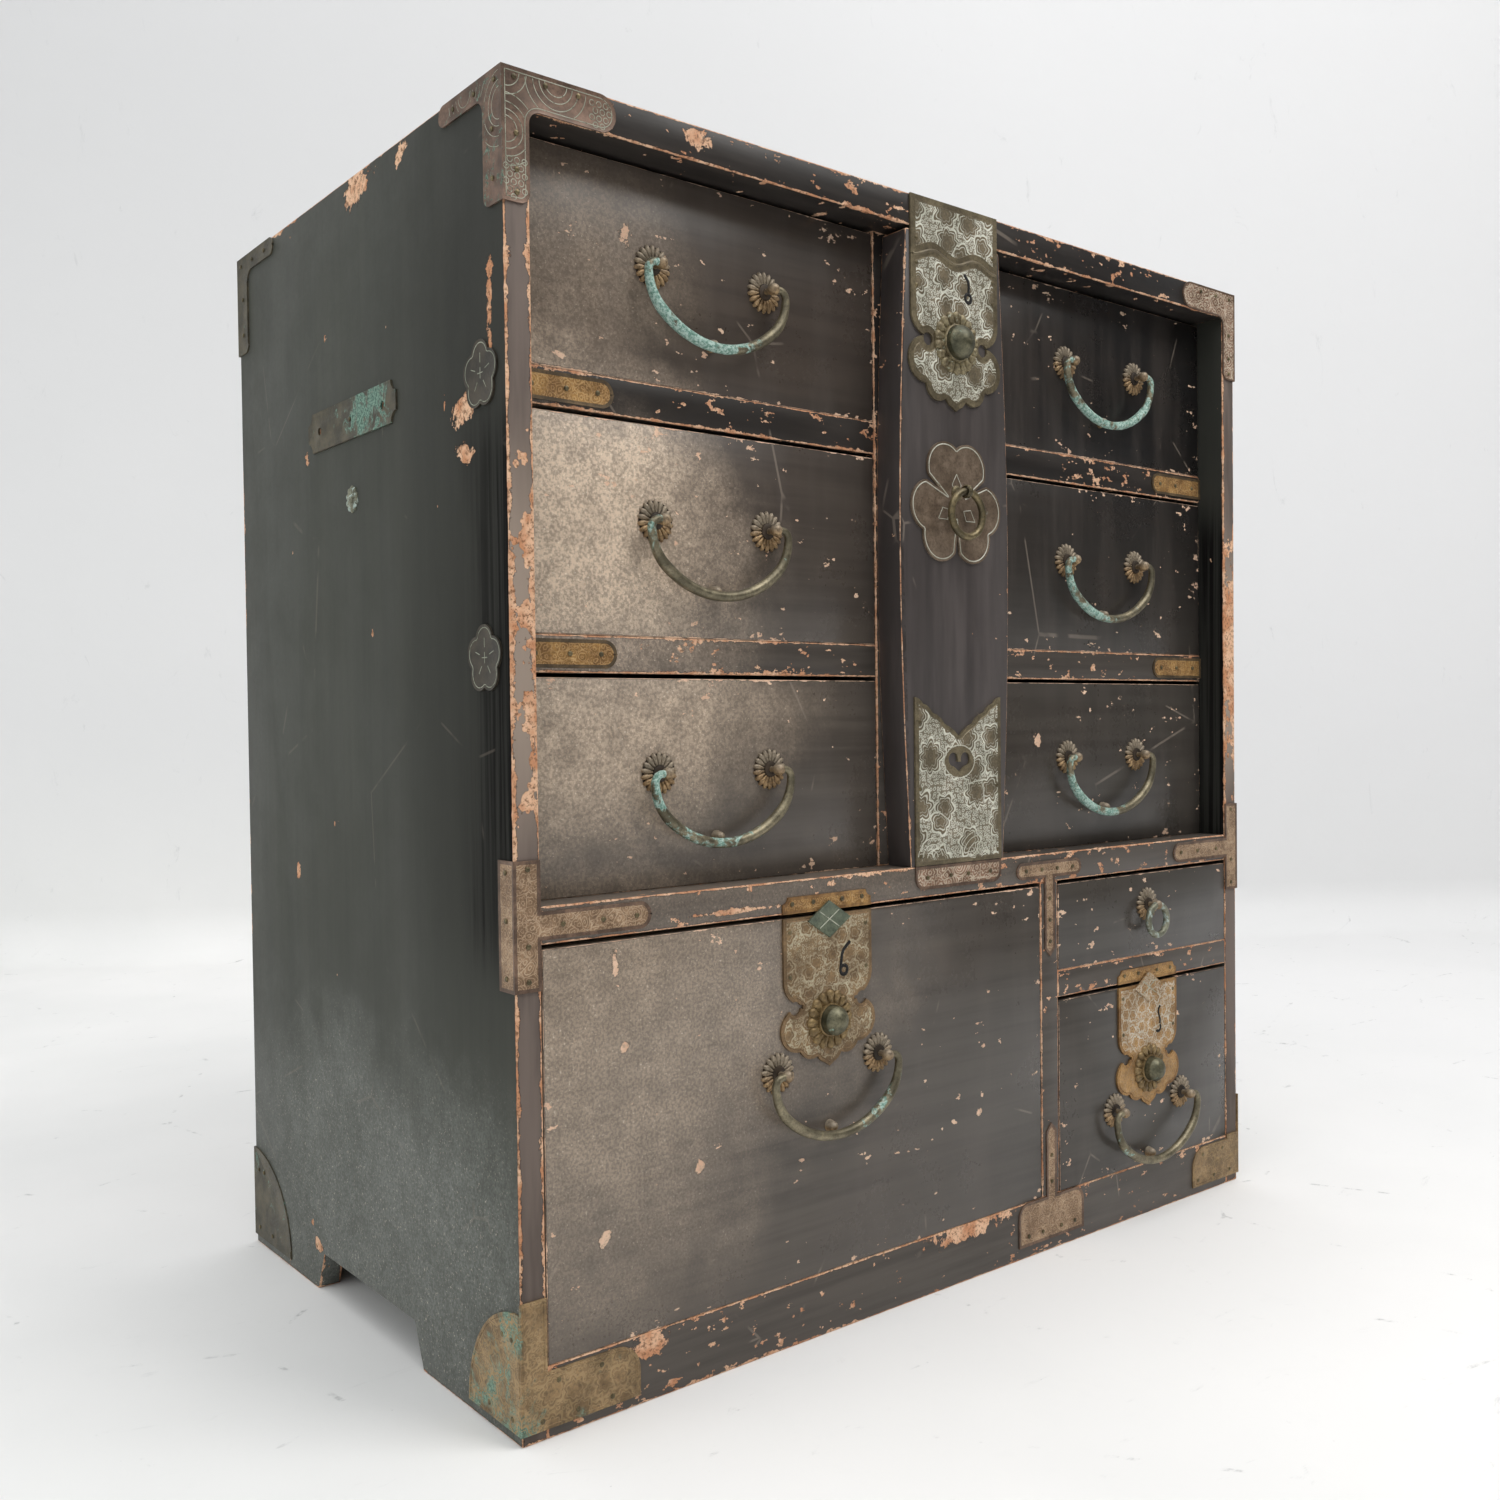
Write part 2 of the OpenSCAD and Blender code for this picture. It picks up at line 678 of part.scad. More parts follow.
// One half of a bail, for x over 0
module bail_side() {
    pin_end = handle_span / 2 - eye_w / 2 - ball_gap - ball_r;
    translate([pin_end, 0, 0]) rotate([0, 90, 0]) cylinder(h = bail_half - elbow_r - pin_end, r = pin_r);
    translate([pin_end, 0, 0]) sphere(ball_r);
    translate([bail_half - elbow_r, 0, -elbow_r]) bent_rod(elbow_r, pin_r, 0, 90);
    translate([bail_half - bail_side_r, 0, -elbow_r]) bent_rod(bail_side_r, bail_r, -bail_turn, bail_turn);
}

module bail() translate([0, -pin_reach, 0]) {
    bail_side();
    mirror([1, 0, 0]) bail_side();
    translate([0, 0, bail_low_r - bail_drop])
        bent_rod(bail_low_r, bail_r, -180 + bail_turn, 180 - 2 * bail_turn);
    bend_x = bail_half - bail_side_r + bail_side_r * cos(bail_turn);
    bend_z = -elbow_r - bail_side_r * sin(bail_turn);
    for (s = [-1, 1]) translate([s * bend_x, 0, bend_z]) sphere(bail_r * 1.05);
}

ring_eye_r = ring_rod_r + 0.5;
ring_eye_out = ring_eye_r + 2.2;

module ring(r) translate([0, -pin_reach, -r]) rotate([90, 0, 0]) rotate_extrude()
    translate([r, 0]) circle(ring_rod_r);

// Drawers, drawn with the middle of the front's lower edge at x = 0, y = 0, z = 0

function handle_z(h) = h / 2 + handle_up;

module drawer_body(w, h, l) {
    back_l = l - front_t;
    side_h = h - drawer_bottom_t - side_drop;
    translate([-w / 2, 0, 0]) cube([w, front_t, h]);
    translate([-w / 2, front_t + seam, 0]) cube([w, back_l - seam, drawer_bottom_t]);
    for (x = [-w / 2, w / 2 - drawer_side_t])
        translate([x, front_t + seam, drawer_bottom_t + seam]) cube([drawer_side_t, back_l - seam, side_h]);
    translate([-w / 2 + drawer_side_t + seam, l - drawer_side_t, drawer_bottom_t + seam])
        cube([w - 2 * drawer_side_t - 2 * seam, drawer_side_t, side_h]);
}

module post_hole() translate([0, front_t + 1, 0]) rotate([90, 0, 0])
    cylinder(h = front_t + 2, r = post_r + pin_gap);

module handled_drawer(w, h, l, hz) difference() {
    drawer_body(w, h, l);
    for (s = [-1, 1]) translate([s * handle_span / 2, 0, hz]) post_hole();
}

upper_h = row_h - top_gap;
upper_hz = handle_z(upper_h);

module in_upper(c, r) in_case() translate([col_x(c), recess, row_z(r)]) children();

module upper_drawer(c, r) in_upper(c, r)
    handled_drawer(col_r(c) - col_l(c) - 2 * side_gap, upper_h, box_l(recess), upper_hz);

module upper_rosettes(c, r) in_upper(c, r) translate([0, 0, upper_hz]) handle_mount(front_t);

module upper_bail(c, r) in_upper(c, r) translate([0, 0, upper_hz]) bail();

module drawer_left_top() color(lacquer) upper_drawer(0, 2);
module rosettes_left_top() color(brass) upper_rosettes(0, 2);
module bail_left_top() color(verdigris) upper_bail(0, 2);
module drawer_left_middle() color(lacquer) upper_drawer(0, 1);
module rosettes_left_middle() color(brass) upper_rosettes(0, 1);
module bail_left_middle() color(bronze) upper_bail(0, 1);
module drawer_left_bottom() color(lacquer) upper_drawer(0, 0);
module rosettes_left_bottom() color(brass) upper_rosettes(0, 0);
module bail_left_bottom() color(bronze) upper_bail(0, 0);
module drawer_right_top() color(lacquer) upper_drawer(1, 2);
module rosettes_right_top() color(brass) upper_rosettes(1, 2);
module bail_right_top() color(bronze) upper_bail(1, 2);
module drawer_right_middle() color(lacquer) upper_drawer(1, 1);
module rosettes_right_middle() color(brass) upper_rosettes(1, 1);
module bail_right_middle() color(bronze) upper_bail(1, 1);
module drawer_right_bottom() color(lacquer) upper_drawer(1, 0);
module rosettes_right_bottom() color(brass) upper_rosettes(1, 0);
module bail_right_bottom() color(bronze) upper_bail(1, 0);

// Locks, drawn with the middle of the front's top edge at x = 0, y = 0, z = 0

// Plate with straight sides, a waist with two round bites, and a scalloped lobe round the button.
// The bites lie bite_up over the button, inset from the edges. The tip hangs tip_down under the button.
bite_r = 5;
shoulder_r = 18;
lobe_out = 3;
lobe_below = 16;
scallop_up = 19.5;
tip_r = 13;
point_h = 2;
point_half = 6;

module lock_shape(w, top, drop, hole, inset, bite_up, tip_down) {
    bite_z = bite_up - drop;
    low = -drop - tip_down;
    lobe_r = (bite_z - low) * 0.343;
    lobe_x = w / 2 + lobe_out - lobe_r;
    lobe_z = bite_z - lobe_below;
    shoulder_z = bite_z + shoulder_r + 2;
    difference() {
        union() {
            translate([-w / 2, shoulder_z]) square([w, top - shoulder_z]);
            for (s = [-1, 1]) {
                translate([s * (w / 2 - shoulder_r), shoulder_z]) circle(shoulder_r);
                translate([s * lobe_x, lobe_z]) circle(lobe_r);
                translate([s * w / 5, low + scallop_up]) circle((bite_z - low) * 0.26);
            }
            translate([-w / 2 + shoulder_r, lobe_z]) square([w - 2 * shoulder_r, shoulder_z - lobe_z + 2]);
            translate([-w / 4, low + tip_r + point_h]) square([w / 2, lobe_z - low]);
            translate([0, low + tip_r + point_h]) circle(tip_r);
            polygon([[0, low], [point_half, low + 2 * point_h], [-point_half, low + 2 * point_h]]);
        }
        for (s = [-1, 1]) translate([s * (w / 2 - inset), bite_z]) circle(bite_r);
        translate([0, -drop]) circle(hole);
        translate([key_x, key_z]) circle(key_hole_r);
        translate([key_x - key_slot_w / 2, key_z]) square([key_slot_w, key_slot_top - key_z]);
    }
}

// Ring of petals round a button
module petal_ring(r, hole, h) rotate([90, 0, 0]) rotate_extrude() {
    translate([hole, 0]) square([r - hole - h, h]);
    intersection() {
        translate([r - h, 0]) circle(h);
        square([r, h]);
    }
}

petal_h = 3.4;
diamond_w = 41;
diamond_h = 27;

module lock_nails(w, top) for (s = [-1, 1], z = [top - 10, key_z])
    translate([s * (w / 2 - 6), -plate_t - seam, z]) nail();

module drawer_lock_plate() {
    hole = button_r + plate_gap / 2;
    on_front(plate_t) lock_shape(lock_w, 0, button_drop, hole, 10.5, 12, 34);
    translate([0, -plate_t - seam, -button_drop]) petal_ring(petal_r, hole, petal_h);
    translate([0, -plate_t - seam, -diamond_h / 2 + 10]) on_front(plate_t) polygon([
        [-diamond_w / 2, 0], [0, -diamond_h / 2], [diamond_w / 2, 0], [0, diamond_h / 2]
    ]);
    lock_nails(lock_w, 0);
}

// Pocket in a front for a lock case, with a slot for the bolt up to the edge
module lock_pocket(drop, r) {
    w = lock_case_w + 2 * case_gap;
    h = lock_case_h(drop, r) + 2 * case_gap;
    translate([-w / 2, -eps, -lock_top_wall - h + case_gap]) cube([w, lock_case_d + case_gap, h]);
    translate([-bolt_w / 2 - case_gap, bolt_y - case_gap, -lock_top_wall - 1])
        cube([bolt_w + 2 * case_gap, bolt_t + 2 * case_gap, lock_top_wall + 2]);
}

// Tray of sheet metal, open to the front, with a key post and a leaf spring
module lock_case(drop, r) {
    w = lock_case_w;
    h = lock_case_h(drop, r);
    wall = lock_case_wall;
    difference() {
        translate([-w / 2, 0, -lock_top_wall - h]) cube([w, lock_case_d, h]);
        translate([-w / 2 + wall, -eps, -lock_top_wall - h + wall])
            cube([w - 2 * wall, lock_case_d - wall + eps, h - 2 * wall]);
        translate([-bolt_w / 2 - case_gap, bolt_y - case_gap, -lock_top_wall - wall - 1])
            cube([bolt_w + 2 * case_gap, bolt_t + 2 * case_gap, wall + 2]);
    }
    translate([key_x, lock_case_d - wall - seam, key_z]) rotate([90, 0, 0])
        cylinder(h = lock_case_d - wall - 1, r = key_post_r);
    translate([-w / 2 + wall + seam, 4, -lock_top_wall - wall - 50]) cube([0.8, 6, 50 - seam]);
}

function wedge_z(y, z0) = z0 + shaft_r - bolt_ratio * (y - wedge_y);

// Bolt: a flat body that leaves by the slot, and a leg that rides on the button's wedge
module bolt(drop) {
    translate([-bolt_w / 2, bolt_y, -bolt_body_h]) cube([bolt_w, bolt_t, bolt_body_h - 0.5]);
    rise = wedge_gap * sqrt(1 + bolt_ratio * bolt_ratio);
    translate([-leg_w / 2, 0, 0]) rotate([90, 0, 90]) linear_extrude(leg_w) polygon([
        [bolt_y, -bolt_body_h + eps],
        [bolt_y + bolt_t, -bolt_body_h + eps],
        [bolt_y + bolt_t, wedge_z(bolt_y + bolt_t, -drop) + rise],
        [bolt_y, wedge_z(bolt_y, -drop) + rise]
    ]);
}

// Button: a domed knob that slides through the plate, and a shaft cut to a wedge
module button(r, drop) translate([0, 0, -drop]) {
    crown = r * 0.65;
    straight = button_reach - crown;
    translate([0, -straight, 0]) dome(r, crown);
    translate([0, -knob_back, 0]) rotate([90, 0, 0]) cylinder(h = straight - knob_back, r = r);
    difference() {
        translate([0, lock_case_d, 0]) rotate([90, 0, 0]) cylinder(h = lock_case_d + knob_back, r = shaft_r);
        translate([-shaft_r - 1, 0, 0]) rotate([90, 0, 90]) linear_extrude(2 * shaft_r + 2) polygon([
            [wedge_y, shaft_r],
            [wedge_y + 2 * shaft_r / bolt_ratio, -shaft_r],
            [wedge_y + 2 * shaft_r / bolt_ratio, -shaft_r - 1],
            [lock_case_d + 1, -shaft_r - 1],
            [lock_case_d + 1, shaft_r + 1],
            [wedge_y, shaft_r + 1]
        ]);
    }
}

// Big drawer

big_w = post_l + inner_w - 2 * side_gap;
big_h = mid_rail_z - base_h - top_gap;
big_hz = big_h - button_drop - 32;

module in_big() in_case() translate([big_x, 0, base_h]) children();
module at_big_lock() in_big() translate([0, 0, big_h]) children();

module drawer_big() color(lacquer) difference() {
    in_big() handled_drawer(big_w, big_h, box_l(0), big_hz);
    at_big_lock() lock_pocket(button_drop, button_r);
}

module rosettes_big() color(brass) in_big() translate([0, 0, big_hz]) handle_mount(front_t);
module bail_big() color(bronze) in_big() translate([0, 0, big_hz]) bail();
module big_lock_plate() color(brass) at_big_lock() drawer_lock_plate();
module big_lock_case() color(iron) at_big_lock() lock_case(button_drop, button_r);
module big_button() color(bronze) at_big_lock() button(button_r, button_drop);
module big_bolt() color(iron) at_big_lock() bolt(button_drop);

// Lower right drawer

small_w = inner_w - post_right - 2 * side_gap;
small_h = small_low - base_h - top_gap;
small_hz = small_h - button_drop - 30;

module in_small() in_case() translate([right_x, 0, base_h]) children();
module at_small_lock() in_small() translate([0, 0, small_h]) children();

module drawer_small() color(lacquer) difference() {
    in_small() handled_drawer(small_w, small_h, box_l(0), small_hz);
    at_small_lock() lock_pocket(button_drop, button_r);
}

module rosettes_small() color(brass) in_small() translate([0, 0, small_hz]) handle_mount(front_t);
module bail_small() color(bronze) in_small() translate([0, 0, small_hz]) bail();
module small_lock_plate() color(brass) at_small_lock() drawer_lock_plate();
module small_lock_case() color(iron) at_small_lock() lock_case(button_drop, button_r);
module small_button() color(bronze) at_small_lock() button(button_r, button_drop);
module small_bolt() color(iron) at_small_lock() bolt(button_drop);

// Small drawer with a ring

ring_h = ring_drawer_h - top_gap;
ring_z = ring_h * 0.62;

module in_ring() in_case() translate([right_x, 0, small_top]) children();

module drawer_ring() color(lacquer) in_ring() difference() {
    drawer_body(small_w, ring_h, box_l(0));
    translate([0, 0, ring_z]) post_hole();
}

module ring_rosette() color(verdigris) in_ring() translate([0, 0, ring_z]) {
    rosette();
    eye_post(ring_eye_r, ring_eye_out, front_t);
}

module ring_pull() color(verdigris) in_ring() translate([0, 0, ring_z]) ring(pull_ring_r);

// Lock bar, drawn with the middle of its foot's front edge at x = 0, y = 0, z = 0

bar_t = recess - 0.4;
tenon_y = 8;
tenon_back = 4;
bar_steps = 16;
bar_lock_top = bar_h + top_gap - top_plate_hang;
ring_up = 9;

module in_bar() in_case() translate([stile_x, 0, mid_top]) children();
module at_bar_lock() in_bar() translate([0, 0, bar_h]) children();

module bar_shape() polygon(concat(
    [for (i = [0:bar_steps]) [bar_half(bar_h * i / bar_steps), bar_h * i / bar_steps]],
    [for (i = [bar_steps:-1:0]) [-bar_half(bar_h * i / bar_steps), bar_h * i / bar_steps]]
));

module lock_bar() color(lacquer) in_bar() difference() {
    union() {
        translate([0, bar_t, 0]) on_front(bar_t) bar_shape();
        translate([-tenon_w / 2, tenon_y, -tenon_h]) cube([tenon_w, tenon_t, tenon_h + 1]);
    }
    translate([0, 0, bar_h]) lock_pocket(bar_button_drop, bar_button_r);
    translate([0, bar_t + 1, flower_z + ring_up]) rotate([90, 0, 0])
        cylinder(h = bar_t + 2, r = post_r + pin_gap);
    translate([-8, bar_t - clinch - 0.5, flower_z + ring_up - 2]) cube([16, clinch + 1, 4]);
}

// Plate nailed to the bar that stands up over the edge of the top board
module bar_top_plate() color(copper) in_bar() {
    on_front(plate_t) polygon(concat(
        [for (p = wave_line) [p[0], bar_lock_top + p[1]]],
        [[bar_plate_w / 2, bar_h + top_gap + top_t], [-bar_plate_w / 2, bar_h + top_gap + top_t]]
    ));
    for (s = [-1, 1]) translate([s * (bar_plate_w / 2 - 6), -plate_t - seam, bar_h - 6]) nail();
}

module bar_lock_plate() color(copper) at_bar_lock() {
    hole = bar_button_r + plate_gap / 2;
    top = top_gap - top_plate_hang;
    on_front(plate_t) difference() {
        lock_shape(bar_plate_w, top + wave_h, bar_button_drop, hole, 18, -1, 53);
        polygon(concat(
            [for (p = wave_line) [p[0], top + p[1] - plate_gap]],
            [[bar_plate_w / 2, top + wave_h + 1], [-bar_plate_w / 2, top + wave_h + 1]]
        ));
    }
    translate([0, -plate_t - seam, -bar_button_drop]) petal_ring(bar_petal_r, hole, petal_h);
    lock_nails(bar_plate_w, top);
}

module bar_lock_case() color(iron) at_bar_lock() lock_case(bar_button_drop, bar_button_r);
module bar_button() color(bronze) at_bar_lock() button(bar_button_r, bar_button_drop);
module bar_bolt() color(iron) at_bar_lock() bolt(bar_button_drop);

// Foot plate with a V cut in its top edge and a heart-shaped hole
heart_lobe_r = 5.4;
heart_lobe_x = 6.9;
heart_half = 11.9;
heart_tip = 8;
vee = [
    [1, 0], [0.93, 0.7], [0.86, 2.8], [0.82, 5.2], [0.74, 6.2], [0.66, 9], [0.6, 12.4],
    [0.5, 13.8], [0.4, 16.9], [0.33, 21], [0.22, 23.1], [0.1, 26.7], [0, 31]
];

module bar_foot_plate() color(copper) in_bar() {
    w = bar_plate_w / 2;
    h = foot_plate_h;
    on_front(plate_t) difference() {
        polygon(concat(
            [[-w, 0.5], [w, 0.5]],
            [for (p = vee) [w * p[0], h - p[1]]],
            [for (i = [len(vee) - 2:-1:0]) [-w * vee[i][0], h - vee[i][1]]]
        ));
        for (s = [-1, 1]) translate([s * heart_lobe_x, heart_z + 2]) circle(heart_lobe_r);
        polygon([[-heart_half, heart_z], [heart_half, heart_z], [0, heart_z - heart_tip]]);
    }
    for (s = [-1, 1], z = [8, 60, 112]) translate([s * (w - 5), -plate_t - seam, z]) nail();
}

// Three heart-shaped leaves round a middle, parted by narrow clefts
cleft_in = 22;
cleft_half = 3;

module trefoil(r, lobe, spread) difference() {
    union() {
        circle(r - lobe);
        for (a = [90, 210, 330], s = [-1, 1]) rotate(a + s * spread) translate([r - lobe, 0]) circle(lobe);
    }
    for (a = [30, 150, 270]) rotate(a) polygon([[cleft_in, 0], [r - 8, -cleft_half], [r - 8, cleft_half]]);
}

module bar_blossom_plate() color(copper) in_bar() translate([0, 0, flower_z]) {
    difference() {
        on_front(plate_t) trefoil(flower_r, flower_r * 0.4, 24.5);
        translate([0, 1, ring_up]) rotate([90, 0, 0]) cylinder(h = 2 * plate_t + 2, r = post_r + pin_gap);
    }
    translate([0, 0, ring_up]) eye_post(ring_eye_r, ring_eye_out, bar_t - clinch - 0.5);
}

module bar_ring() color(bronze) in_bar() translate([0, 0, flower_z + ring_up]) ring(bar_ring_r);

side_left();
side_right();
top_board();
bottom_board();
base_rails();
back_panel();
middle_rail();
drawer_shelves();
centre_stile();
partitions();
dividers();
lower_post();
corner_fittings();
rail_fittings();
side_fittings();
fitting_nails();
lock_bar();
bar_top_plate();
bar_lock_plate();
bar_lock_case();
bar_button();
bar_bolt();
bar_foot_plate();
bar_blossom_plate();
bar_ring();
drawer_left_top();
rosettes_left_top();
bail_left_top();
drawer_left_middle();
rosettes_left_middle();
bail_left_middle();
drawer_left_bottom();
rosettes_left_bottom();
bail_left_bottom();
drawer_right_top();
rosettes_right_top();
bail_right_top();
drawer_right_middle();
rosettes_right_middle();
bail_right_middle();
drawer_right_bottom();
rosettes_right_bottom();
bail_right_bottom();
drawer_big();
rosettes_big();
bail_big();
big_lock_plate();
big_lock_case();
big_button();
big_bolt();
drawer_small();
rosettes_small();
bail_small();
small_lock_plate();
small_lock_case();
small_button();
small_bolt();
drawer_ring();
ring_rosette();
ring_pull();
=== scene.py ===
# Looks of the tansu chest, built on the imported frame. Lengths are metres.
from math import cos, pi, radians, sin

import bmesh
import bpy
from mathutils import Matrix, Vector


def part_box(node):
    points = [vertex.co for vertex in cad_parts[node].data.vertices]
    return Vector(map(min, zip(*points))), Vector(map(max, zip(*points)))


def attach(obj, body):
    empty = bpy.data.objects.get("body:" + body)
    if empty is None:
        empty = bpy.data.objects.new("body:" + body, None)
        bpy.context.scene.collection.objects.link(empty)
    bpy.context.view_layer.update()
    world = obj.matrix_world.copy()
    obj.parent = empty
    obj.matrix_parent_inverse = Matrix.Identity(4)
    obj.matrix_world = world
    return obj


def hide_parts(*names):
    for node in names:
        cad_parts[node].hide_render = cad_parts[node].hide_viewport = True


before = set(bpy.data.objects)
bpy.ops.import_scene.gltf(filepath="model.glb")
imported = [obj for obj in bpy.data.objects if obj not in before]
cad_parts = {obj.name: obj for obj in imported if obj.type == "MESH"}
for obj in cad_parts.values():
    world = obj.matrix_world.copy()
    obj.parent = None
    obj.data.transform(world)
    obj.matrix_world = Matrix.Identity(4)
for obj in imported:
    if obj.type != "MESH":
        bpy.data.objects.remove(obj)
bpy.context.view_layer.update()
scene = bpy.context.scene
mm = 0.001
weld = 0.00001
flatAngle = 0.4  # degrees

# Planes of the chest that faces lie on, and the middle of the lock bar
frontFace = -0.2231
recessFace = -0.1971
plateFace = -0.2247
sideFace = -0.3930
barMiddle = 0.005


def deselect():
    if bpy.context.object and bpy.context.object.mode != "OBJECT":
        bpy.ops.object.mode_set(mode="OBJECT")
    bpy.ops.object.select_all(action="DESELECT")


def activate(piece):
    deselect()
    piece.select_set(True)
    bpy.context.view_layer.objects.active = piece


def openMesh(piece, mode="FACE", action="DESELECT"):
    activate(piece)
    bpy.ops.object.mode_set(mode="EDIT")
    bpy.ops.mesh.select_mode(type=mode)
    bpy.ops.mesh.select_all(action=action)


def closeMesh():
    bpy.ops.object.mode_set(mode="OBJECT")


def closeOutward():
    # turns every face of the open mesh outward before it closes
    bpy.ops.mesh.select_all(action="SELECT")
    bpy.ops.mesh.normals_make_consistent(inside=False)
    closeMesh()


def extrude(x, y, z):
    bpy.ops.mesh.extrude_region_move(TRANSFORM_OT_translate={"value": (x, y, z)})


def resize(x, y, z, middle):
    bpy.ops.transform.resize(value=(x, y, z), center_override=middle)


def pick(piece, kind, test):
    bm = bmesh.from_edit_mesh(piece.data)
    for item in getattr(bm, kind):
        item.select_set(test(item))
    if kind != "edges":
        bm.select_flush_mode()
    bmesh.update_edit_mesh(piece.data)


def settle(piece):
    # puts the piece's place into its mesh
    activate(piece)
    bpy.ops.object.transform_apply(location=True, rotation=True, scale=True)
    return piece


def joinPieces(pieces, name):
    deselect()
    for p in pieces:
        p.select_set(True)
    bpy.context.view_layer.objects.active = pieces[0]
    if len(pieces) > 1:
        bpy.ops.object.join()
    pieces[0].name = name
    pieces[0].data.name = name
    return pieces[0]


def addPiece(name, data):
    piece = bpy.data.objects.new(name, data)
    scene.collection.objects.link(piece)
    return piece


def copyOf(piece, name, place=None):
    twin = addPiece(name, piece.data.copy())
    if place is not None:
        twin.data.transform(place)
    return twin


def toss(piece):
    bpy.data.objects.remove(piece)


def smoothShade(piece, angle=35):
    activate(piece)
    bpy.ops.object.shade_smooth_by_angle(angle=radians(angle))


def paintWith(piece, *materials):
    piece.data.materials.clear()
    for m in materials:
        piece.data.materials.append(m)


def place(piece, body, slot, node, smooth=None):
    # a finished piece rides on its body and stands for a node of the CAD
    if smooth:
        smoothShade(piece, smooth)
    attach(piece, body)
    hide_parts(node)


def looseParts(bm):
    # the vertices of each solid of a mesh
    seen, groups = set(), []
    for start in bm.verts:
        if start in seen:
            continue
        seen.add(start)
        group, stack = [], [start]
        while stack:
            v = stack.pop()
            group.append(v)
            for e in v.link_edges:
                w = e.other_vert(v)
                if w not in seen:
                    seen.add(w)
                    stack.append(w)
        groups.append(group)
    return groups


def boxOf(verts):
    low = Vector(min(v.co[i] for v in verts) for i in range(3))
    high = Vector(max(v.co[i] for v in verts) for i in range(3))
    return low, high


def flatten():
    # makes flat faces whole again
    bpy.ops.mesh.select_all(action="SELECT")
    bpy.ops.mesh.dissolve_limited(angle_limit=radians(flatAngle))
    closeMesh()


def cadCopy(node, name, keep=None):
    # the solids of a CAD node that keep(low, high) wants, merged and with flat faces whole
    piece = copyOf(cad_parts[node], name)
    openMesh(piece, action="SELECT")
    bpy.ops.mesh.customdata_custom_splitnormals_clear()
    bpy.ops.mesh.remove_doubles(threshold=weld)
    if keep:
        bm = bmesh.from_edit_mesh(piece.data)
        for v in bm.verts:
            v.select_set(False)
        for group in looseParts(bm):
            if not keep(*boxOf(group)):
                for v in group:
                    v.select_set(True)
        bm.select_flush_mode()
        bmesh.update_edit_mesh(piece.data)
        bpy.ops.mesh.delete(type="VERT")
    flatten()
    return piece


# Materials, with their colours from 0 to 255

class Field:
    # a value that varies over a surface: arithmetic with it adds math nodes
    def __init__(self, socket):
        self.socket = socket

    def __add__(self, other):
        return calc("ADD", self, other)

    def __sub__(self, other):
        return calc("SUBTRACT", self, other)

    def __rsub__(self, other):
        return calc("SUBTRACT", other, self)

    def __mul__(self, other):
        return calc("MULTIPLY", self, other)

    def __truediv__(self, other):
        return calc("DIVIDE", self, other)

    def __abs__(self):
        return calc("ABSOLUTE", self)


def addNode(tree, kind, inputs, **settings):
    n = tree.nodes.new(kind)
    for key, value in settings.items():
        setattr(n, key, value)
    for key, value in inputs.items():
        if isinstance(value, Field):
            tree.links.new(value.socket, n.inputs[key])
        else:
            n.inputs[key].default_value = value
    return n


def field(kind, inputs, out=0, **settings):
    # one output of a new node, in the tree of its inputs
    tree = next(v for v in inputs.values() if isinstance(v, Field)).socket.id_data
    return Field(addNode(tree, kind, inputs, **settings).outputs[out])


def calc(operation, *values):
    return field("ShaderNodeMath", dict(enumerate(values)), operation=operation)


def larger(first, second):
    return calc("MAXIMUM", first, second)


def smaller(first, second):
    return calc("MINIMUM", first, second)


def ramp(value, low, high, toLow=0.0, toHigh=1.0):
    # a soft step from low to high
    return field("ShaderNodeMapRange", {"Value": value, "From Min": low, "From Max": high, "To Min": toLow,
                                        "To Max": toHigh}, interpolation_type="SMOOTHSTEP")


def linear(colour):
    # a colour as the eye sees it, made linear; a field stays as it is
    if isinstance(colour, Field):
        return colour
    return tuple(((c / 255 + 0.055) / 1.055) ** 2.4 if c > 10 else c / 255 / 12.92 for c in colour) + (1.0,)


def mix(share, first, second):
    return field("ShaderNodeMix", {0: share, 6: linear(first), 7: linear(second)}, 2, data_type="RGBA")


def split(point):
    tree = point.socket.id_data
    return [Field(s) for s in addNode(tree, "ShaderNodeSeparateXYZ", {0: point}).outputs]


def attribute(point, name, out):
    return Field(addNode(point.socket.id_data, "ShaderNodeAttribute", {}, attribute_name=name).outputs[out])


def lengthOf(way):
    return field("ShaderNodeVectorMath", {0: way}, "Value", operation="LENGTH")


def noise(point, scale, detail=4.0, rough=0.55, stretch=(1, 1, 1), shift=(0, 0, 0), warp=0.0):
    if stretch != (1, 1, 1) or shift != (0, 0, 0):
        point = field("ShaderNodeMapping", {"Vector": point, "Location": shift, "Scale": stretch})
    return field("ShaderNodeTexNoise", {"Vector": point, "Scale": scale, "Detail": detail, "Roughness": rough,
                                        "Distortion": warp}, "Fac")


def cells(point, scale, scattered=1.0, **settings):
    inputs = {"Vector": point, "Scale": scale, "Randomness": scattered}
    return field("ShaderNodeTexVoronoi", inputs, "Distance", **settings)


def farFrom(point, middle, reach):
    # 0 in the middle of a patch and 1 at its reach
    return lengthOf(field("ShaderNodeMapping", {"Vector": point, "Location": middle, "Scale": reach},
                          vector_type="TEXTURE"))


def strongest(point, spots, ragged):
    # the strongest of some soft patches, each with its middle, reach and strength
    most = None
    for middle, reach, strength in spots:
        share = ramp(farFrom(point, middle, reach) + ragged, 1.25, 0.35) * strength
        most = larger(most, share) if most else share
    return most


